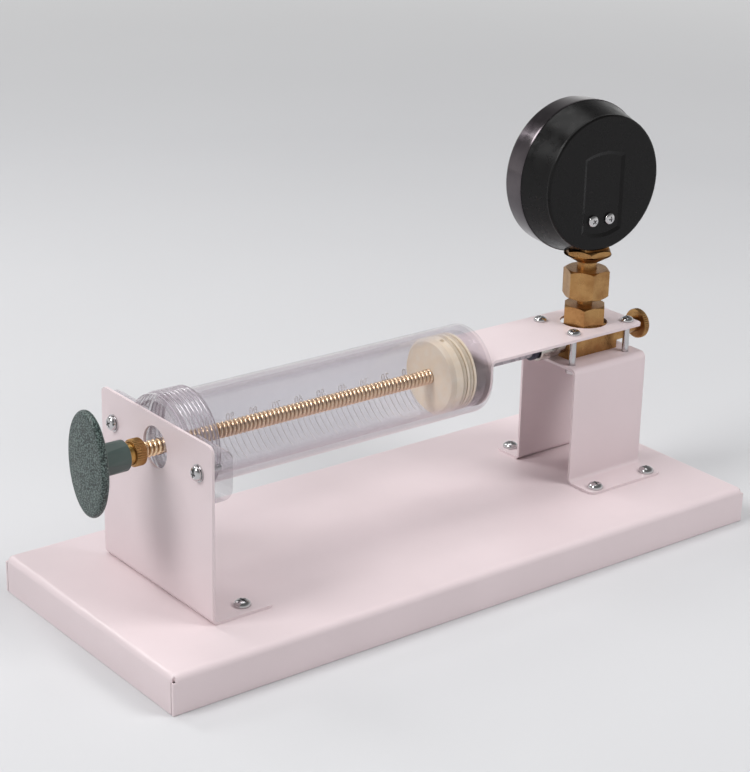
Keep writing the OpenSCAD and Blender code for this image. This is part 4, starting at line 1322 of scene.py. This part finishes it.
@dataclass
class GaugeHead:
    """Printed dial and case screws of the pressure gauge.

    A row of ticks is its name, count, radius, length and width.
    """

    finishes: Finishes
    at: Stations
    turn_deg: float = 4.0
    print_z: float = 10.42
    start_deg: float = 225.0
    sweep_deg: float = 270.0
    top_value: int = 300
    value_step: int = 50
    number_r: float = 18.4
    unit_r: float = 11.5
    type_size: float = 3.6
    ink: float = 0.03
    rows: tuple = (
        ("dial_ticks", 61, 24.6, 1.8, 0.22), ("dial_fives", 13, 24.0, 3.0, 0.4),
        ("dial_tens", 7, 23.6, 3.8, 0.6))
    screw_x: float = 4.55
    screw_drop: float = 16.3
    screw_seat: float = 7.5

    def frame(self) -> Matrix:
        """Matrix from the dial's face, with x to its reader's right, to the row frame.

        Returns:
            The matrix, in metres.
        """
        here = Matrix.Translation((self.at.gauge_x * MM, self.at.axis_y * MM, self.at.gauge_z * MM))
        turn = Matrix.Rotation(math.radians(-self.turn_deg), 4, "Z")
        face = Matrix(((-1, 0, 0, 0), (0, 0, 1, 0), (0, 1, 0, 0), (0, 0, 0, 1)))
        return here @ turn @ face

    def ticks(self, finish: Material) -> list[Object]:
        """Build the printed ticks of the dial.

        Args:
            finish: Material of the ink.

        Returns:
            One piece for each row of ticks.
        """
        tree = Tree("ticks_on_arc", Count=10, Radius=0.025, Start=0.0, Sweep=1.0, Length=0.002, Width=0.0003)
        row = {"Curve": tree.arc(200), "Count": tree.size("Count")}
        points = tree.add("GeometryNodeCurveToPoints", {"mode": "COUNT"}, **row).outputs
        box = tree.add("ShaderNodeCombineXYZ", X=tree.size("Length"), Y=self.ink * MM, Z=tree.size("Width"))
        bar = tree.add("GeometryNodeMeshCube", Size=box.outputs[0]).outputs[0]
        tree.close(tree.on_points(points["Points"], bar, points["Rotation"]), finish)
        lift = self.frame() @ Matrix.Translation((0, 0, self.print_z * MM))
        ends = {"Start": math.radians(self.start_deg), "Sweep": math.radians(-self.sweep_deg)}
        made = []
        for name, count, radius, length, width in self.rows:
            sizes = {"Radius": radius * MM, "Length": length * MM, "Width": width * MM}
            made.append(tree.run(name, {"Count": count, **sizes, **ends}, place=lift))
        return made

    def words(self) -> Object:
        """Build the printed numbers of the dial.

        Returns:
            The numbers as one piece.
        """
        bm = bmesh.new()
        per_unit = self.sweep_deg / self.top_value
        values = range(0, self.top_value + 1, self.value_step)
        labels = [(str(value), self.number_r, self.start_deg - per_unit * value) for value in values]
        for text, radius, angle in (*labels, ("kPa", self.unit_r, 270.0)):
            mesh = letters(text, self.type_size, self.ink / 2, 4)
            turn = math.radians(angle)
            mesh.transform(Matrix.Translation((radius * math.cos(turn), radius * math.sin(turn), 0)))
            bm.from_mesh(mesh)
        bm.transform(self.frame() @ Matrix.Translation((0, 0, self.print_z * MM)) @ Matrix.Scale(MM, 4))
        return finished(bm, "dial_numbers")

    def case_screws(self) -> Object:
        """Build the two screws in the stamped panel of the back.

        Returns:
            The pair as one piece.
        """
        here = self.frame()
        back = here.to_3x3() @ Vector((0, 0, -1))
        places = [Vector((side * self.screw_x, -self.screw_drop, -self.screw_seat)) for side in (-1, 1)]
        seats = [here @ (place * MM) for place in places]
        zinc = self.finishes.of("zinc")
        return ScrewSet(2.65, 1.7, 1.2, 4.1).build("back_screws", seats, [back, back], zinc)

    def build(self) -> None:
        """Build the case screws and the dial's print."""
        place_piece(self.case_screws(), Body.FRAME, Slot.ZINC, self.finishes.of("zinc"), "case_screws")
        ink = self.finishes.of("pointer_black")
        for piece in (*self.ticks(ink), self.words()):
            place_piece(piece, Body.FRAME, Slot.DIAL, ink)


@dataclass(frozen=True)
class Lamp:
    """Soft rectangular lamp. Places and sizes are in metres, its power in watts."""

    name: str
    place: tuple
    size: tuple
    power: float
    aim: tuple = (0, 0, 0.05)
    glint: bool = True

    def hang(self) -> None:
        """Hang the lamp. Without glint, shiny surfaces don't show it."""
        data = bpy.data.lights.new(self.name, "AREA")
        data.shape = "RECTANGLE"
        data.size, data.size_y = self.size
        data.energy = self.power
        lamp = bpy.data.objects.new(self.name, data)
        bpy.context.scene.collection.objects.link(lamp)
        lamp.location = self.place
        lamp.visible_glossy = self.glint
        lamp.rotation_euler = (Vector(self.aim) - Vector(self.place)).to_track_quat("-Z", "Y").to_euler()


@dataclass
class Studio:
    """Floor, lamps and camera."""

    spot: tuple = (-511.1, -637.4, 389.7)
    azimuth: float = 38.15
    rise: float = 20.96
    roll: float = 1.33
    focal_px: float = 2105.6
    frame_px: float = 772.0
    sensor: float = 36.0
    fade_from: float = 0.7
    fade_to: float = 2.0
    world_light: float = 0.26
    lamps: tuple = (
        Lamp("left", (-1.15, 0.15, 1.2), (0.6, 0.6), 13),
        Lamp("front", (0.75, -0.95, 1.25), (0.7, 0.7), 14, glint=False),
        Lamp("top", (0.1, 0.4, 1.5), (1.0, 0.7), 5),
        Lamp("rim", (-0.3, 0.85, 0.8), (0.3, 0.3), 2.5, (0, 0, 0.12)))

    def floor(self) -> None:
        """Lay a pale floor that fades into the backdrop and can be seen through from below."""
        bm = bmesh.new()
        bmesh.ops.create_grid(bm, x_segments=1, y_segments=1, size=6.0)
        mesh = bpy.data.meshes.new("floor")
        bm.to_mesh(mesh)
        bm.free()
        floor = bpy.data.objects.new("floor", mesh)
        bpy.context.scene.collection.objects.link(floor)
        floor.location = (0, 0, -0.0002)
        graph = Graph("floor_paper")
        colour = graph.ramp(graph.noise(300.0, 2.0), 0.3, 0.7, (0.64, 0.64, 0.65, 1), (0.66, 0.66, 0.67, 1))
        paper = graph.add("ShaderNodeBsdfPrincipled", Base_Color=colour, Roughness=0.7)
        away = graph.add("ShaderNodeVectorMath", {"operation": "LENGTH"}, _0=graph.place).outputs["Value"]
        fade = graph.mapped(away, self.fade_from, self.fade_to, 0.0, 1.0)
        open_air = graph.add("ShaderNodeBsdfTransparent")
        under = graph.add("ShaderNodeNewGeometry").outputs["Backfacing"]
        gone = graph.calc("MAXIMUM", fade, under)
        mix = graph.add("ShaderNodeMixShader", Fac=gone, _1=paper.outputs[0], _2=open_air.outputs[0])
        mesh.materials.append(graph.close(mix))

    def world(self) -> None:
        """Set a dim even world.

        The camera, metal and glass see its pale backdrop instead, which is darker overhead.
        """
        world = bpy.data.worlds.new("studio")
        bpy.context.scene.world = world
        world.use_nodes = True
        sky = Nodes(world.node_tree)
        sky.tree.nodes.clear()
        out = sky.add("ShaderNodeOutputWorld")
        light = sky.add("ShaderNodeBackground", Color=(0.95, 0.96, 1.0, 1), Strength=self.world_light)
        way = sky.add("ShaderNodeTexCoord").outputs["Generated"]
        height = sky.add("ShaderNodeSeparateXYZ", Vector=way).outputs["Z"]
        back = sky.add("ShaderNodeBackground", Color=sky.mapped(height, 0.05, 0.6, 0.85, 0.16))
        rays = sky.add("ShaderNodeLightPath").outputs
        seen = rays["Is Camera Ray"]
        for kind in ("Is Glossy Ray", "Is Transmission Ray"):
            seen = sky.calc("MAXIMUM", seen, rays[kind])
        mix = sky.add("ShaderNodeMixShader", _0=seen, _1=light.outputs[0], _2=back.outputs[0])
        sky.tree.links.new(mix.outputs[0], out.inputs[0])

    def camera(self) -> None:
        """Set the camera where the photograph was taken from."""
        turn, up, roll = (math.radians(value) for value in (self.azimuth, self.rise, self.roll))
        ahead = Vector((math.cos(up) * math.sin(turn), math.cos(up) * math.cos(turn), -math.sin(up)))
        right = ahead.cross(Vector((0, 0, 1))).normalized()
        over = right.cross(ahead)
        side = right * math.cos(roll) + over * math.sin(roll)
        over = over * math.cos(roll) - right * math.sin(roll)
        data = bpy.data.cameras.new("camera")
        data.sensor_width = self.sensor
        data.lens = self.focal_px * self.sensor / self.frame_px
        data.clip_start, data.clip_end = 0.01, 50
        camera = bpy.data.objects.new("camera", data)
        bpy.context.scene.collection.objects.link(camera)
        pose = Matrix((side, over, -ahead)).transposed().to_4x4()
        camera.matrix_world = Matrix.Translation(Vector(self.spot) * MM) @ pose
        bpy.context.scene.camera = camera

    def build(self) -> None:
        """Set up the studio."""
        self.floor()
        self.world()
        for lamp in self.lamps:
            lamp.hang()
        self.camera()
        view = bpy.context.scene.view_settings
        view.view_transform = "Standard"


def main() -> None:
    """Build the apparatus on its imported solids."""
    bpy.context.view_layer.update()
    Studio().build()
    at = Stations().read()
    finishes = Finishes(at)
    finishes.dress_solids()
    drive, cylinder = Drive(finishes, at), Cylinder(finishes, at)
    for group in (Bench(finishes), drive, cylinder, Manifold(finishes, at), GaugeHead(finishes, at)):
        log.info("building %s", type(group).__name__)
        group.build()


if __name__ == "__main__":
    main()
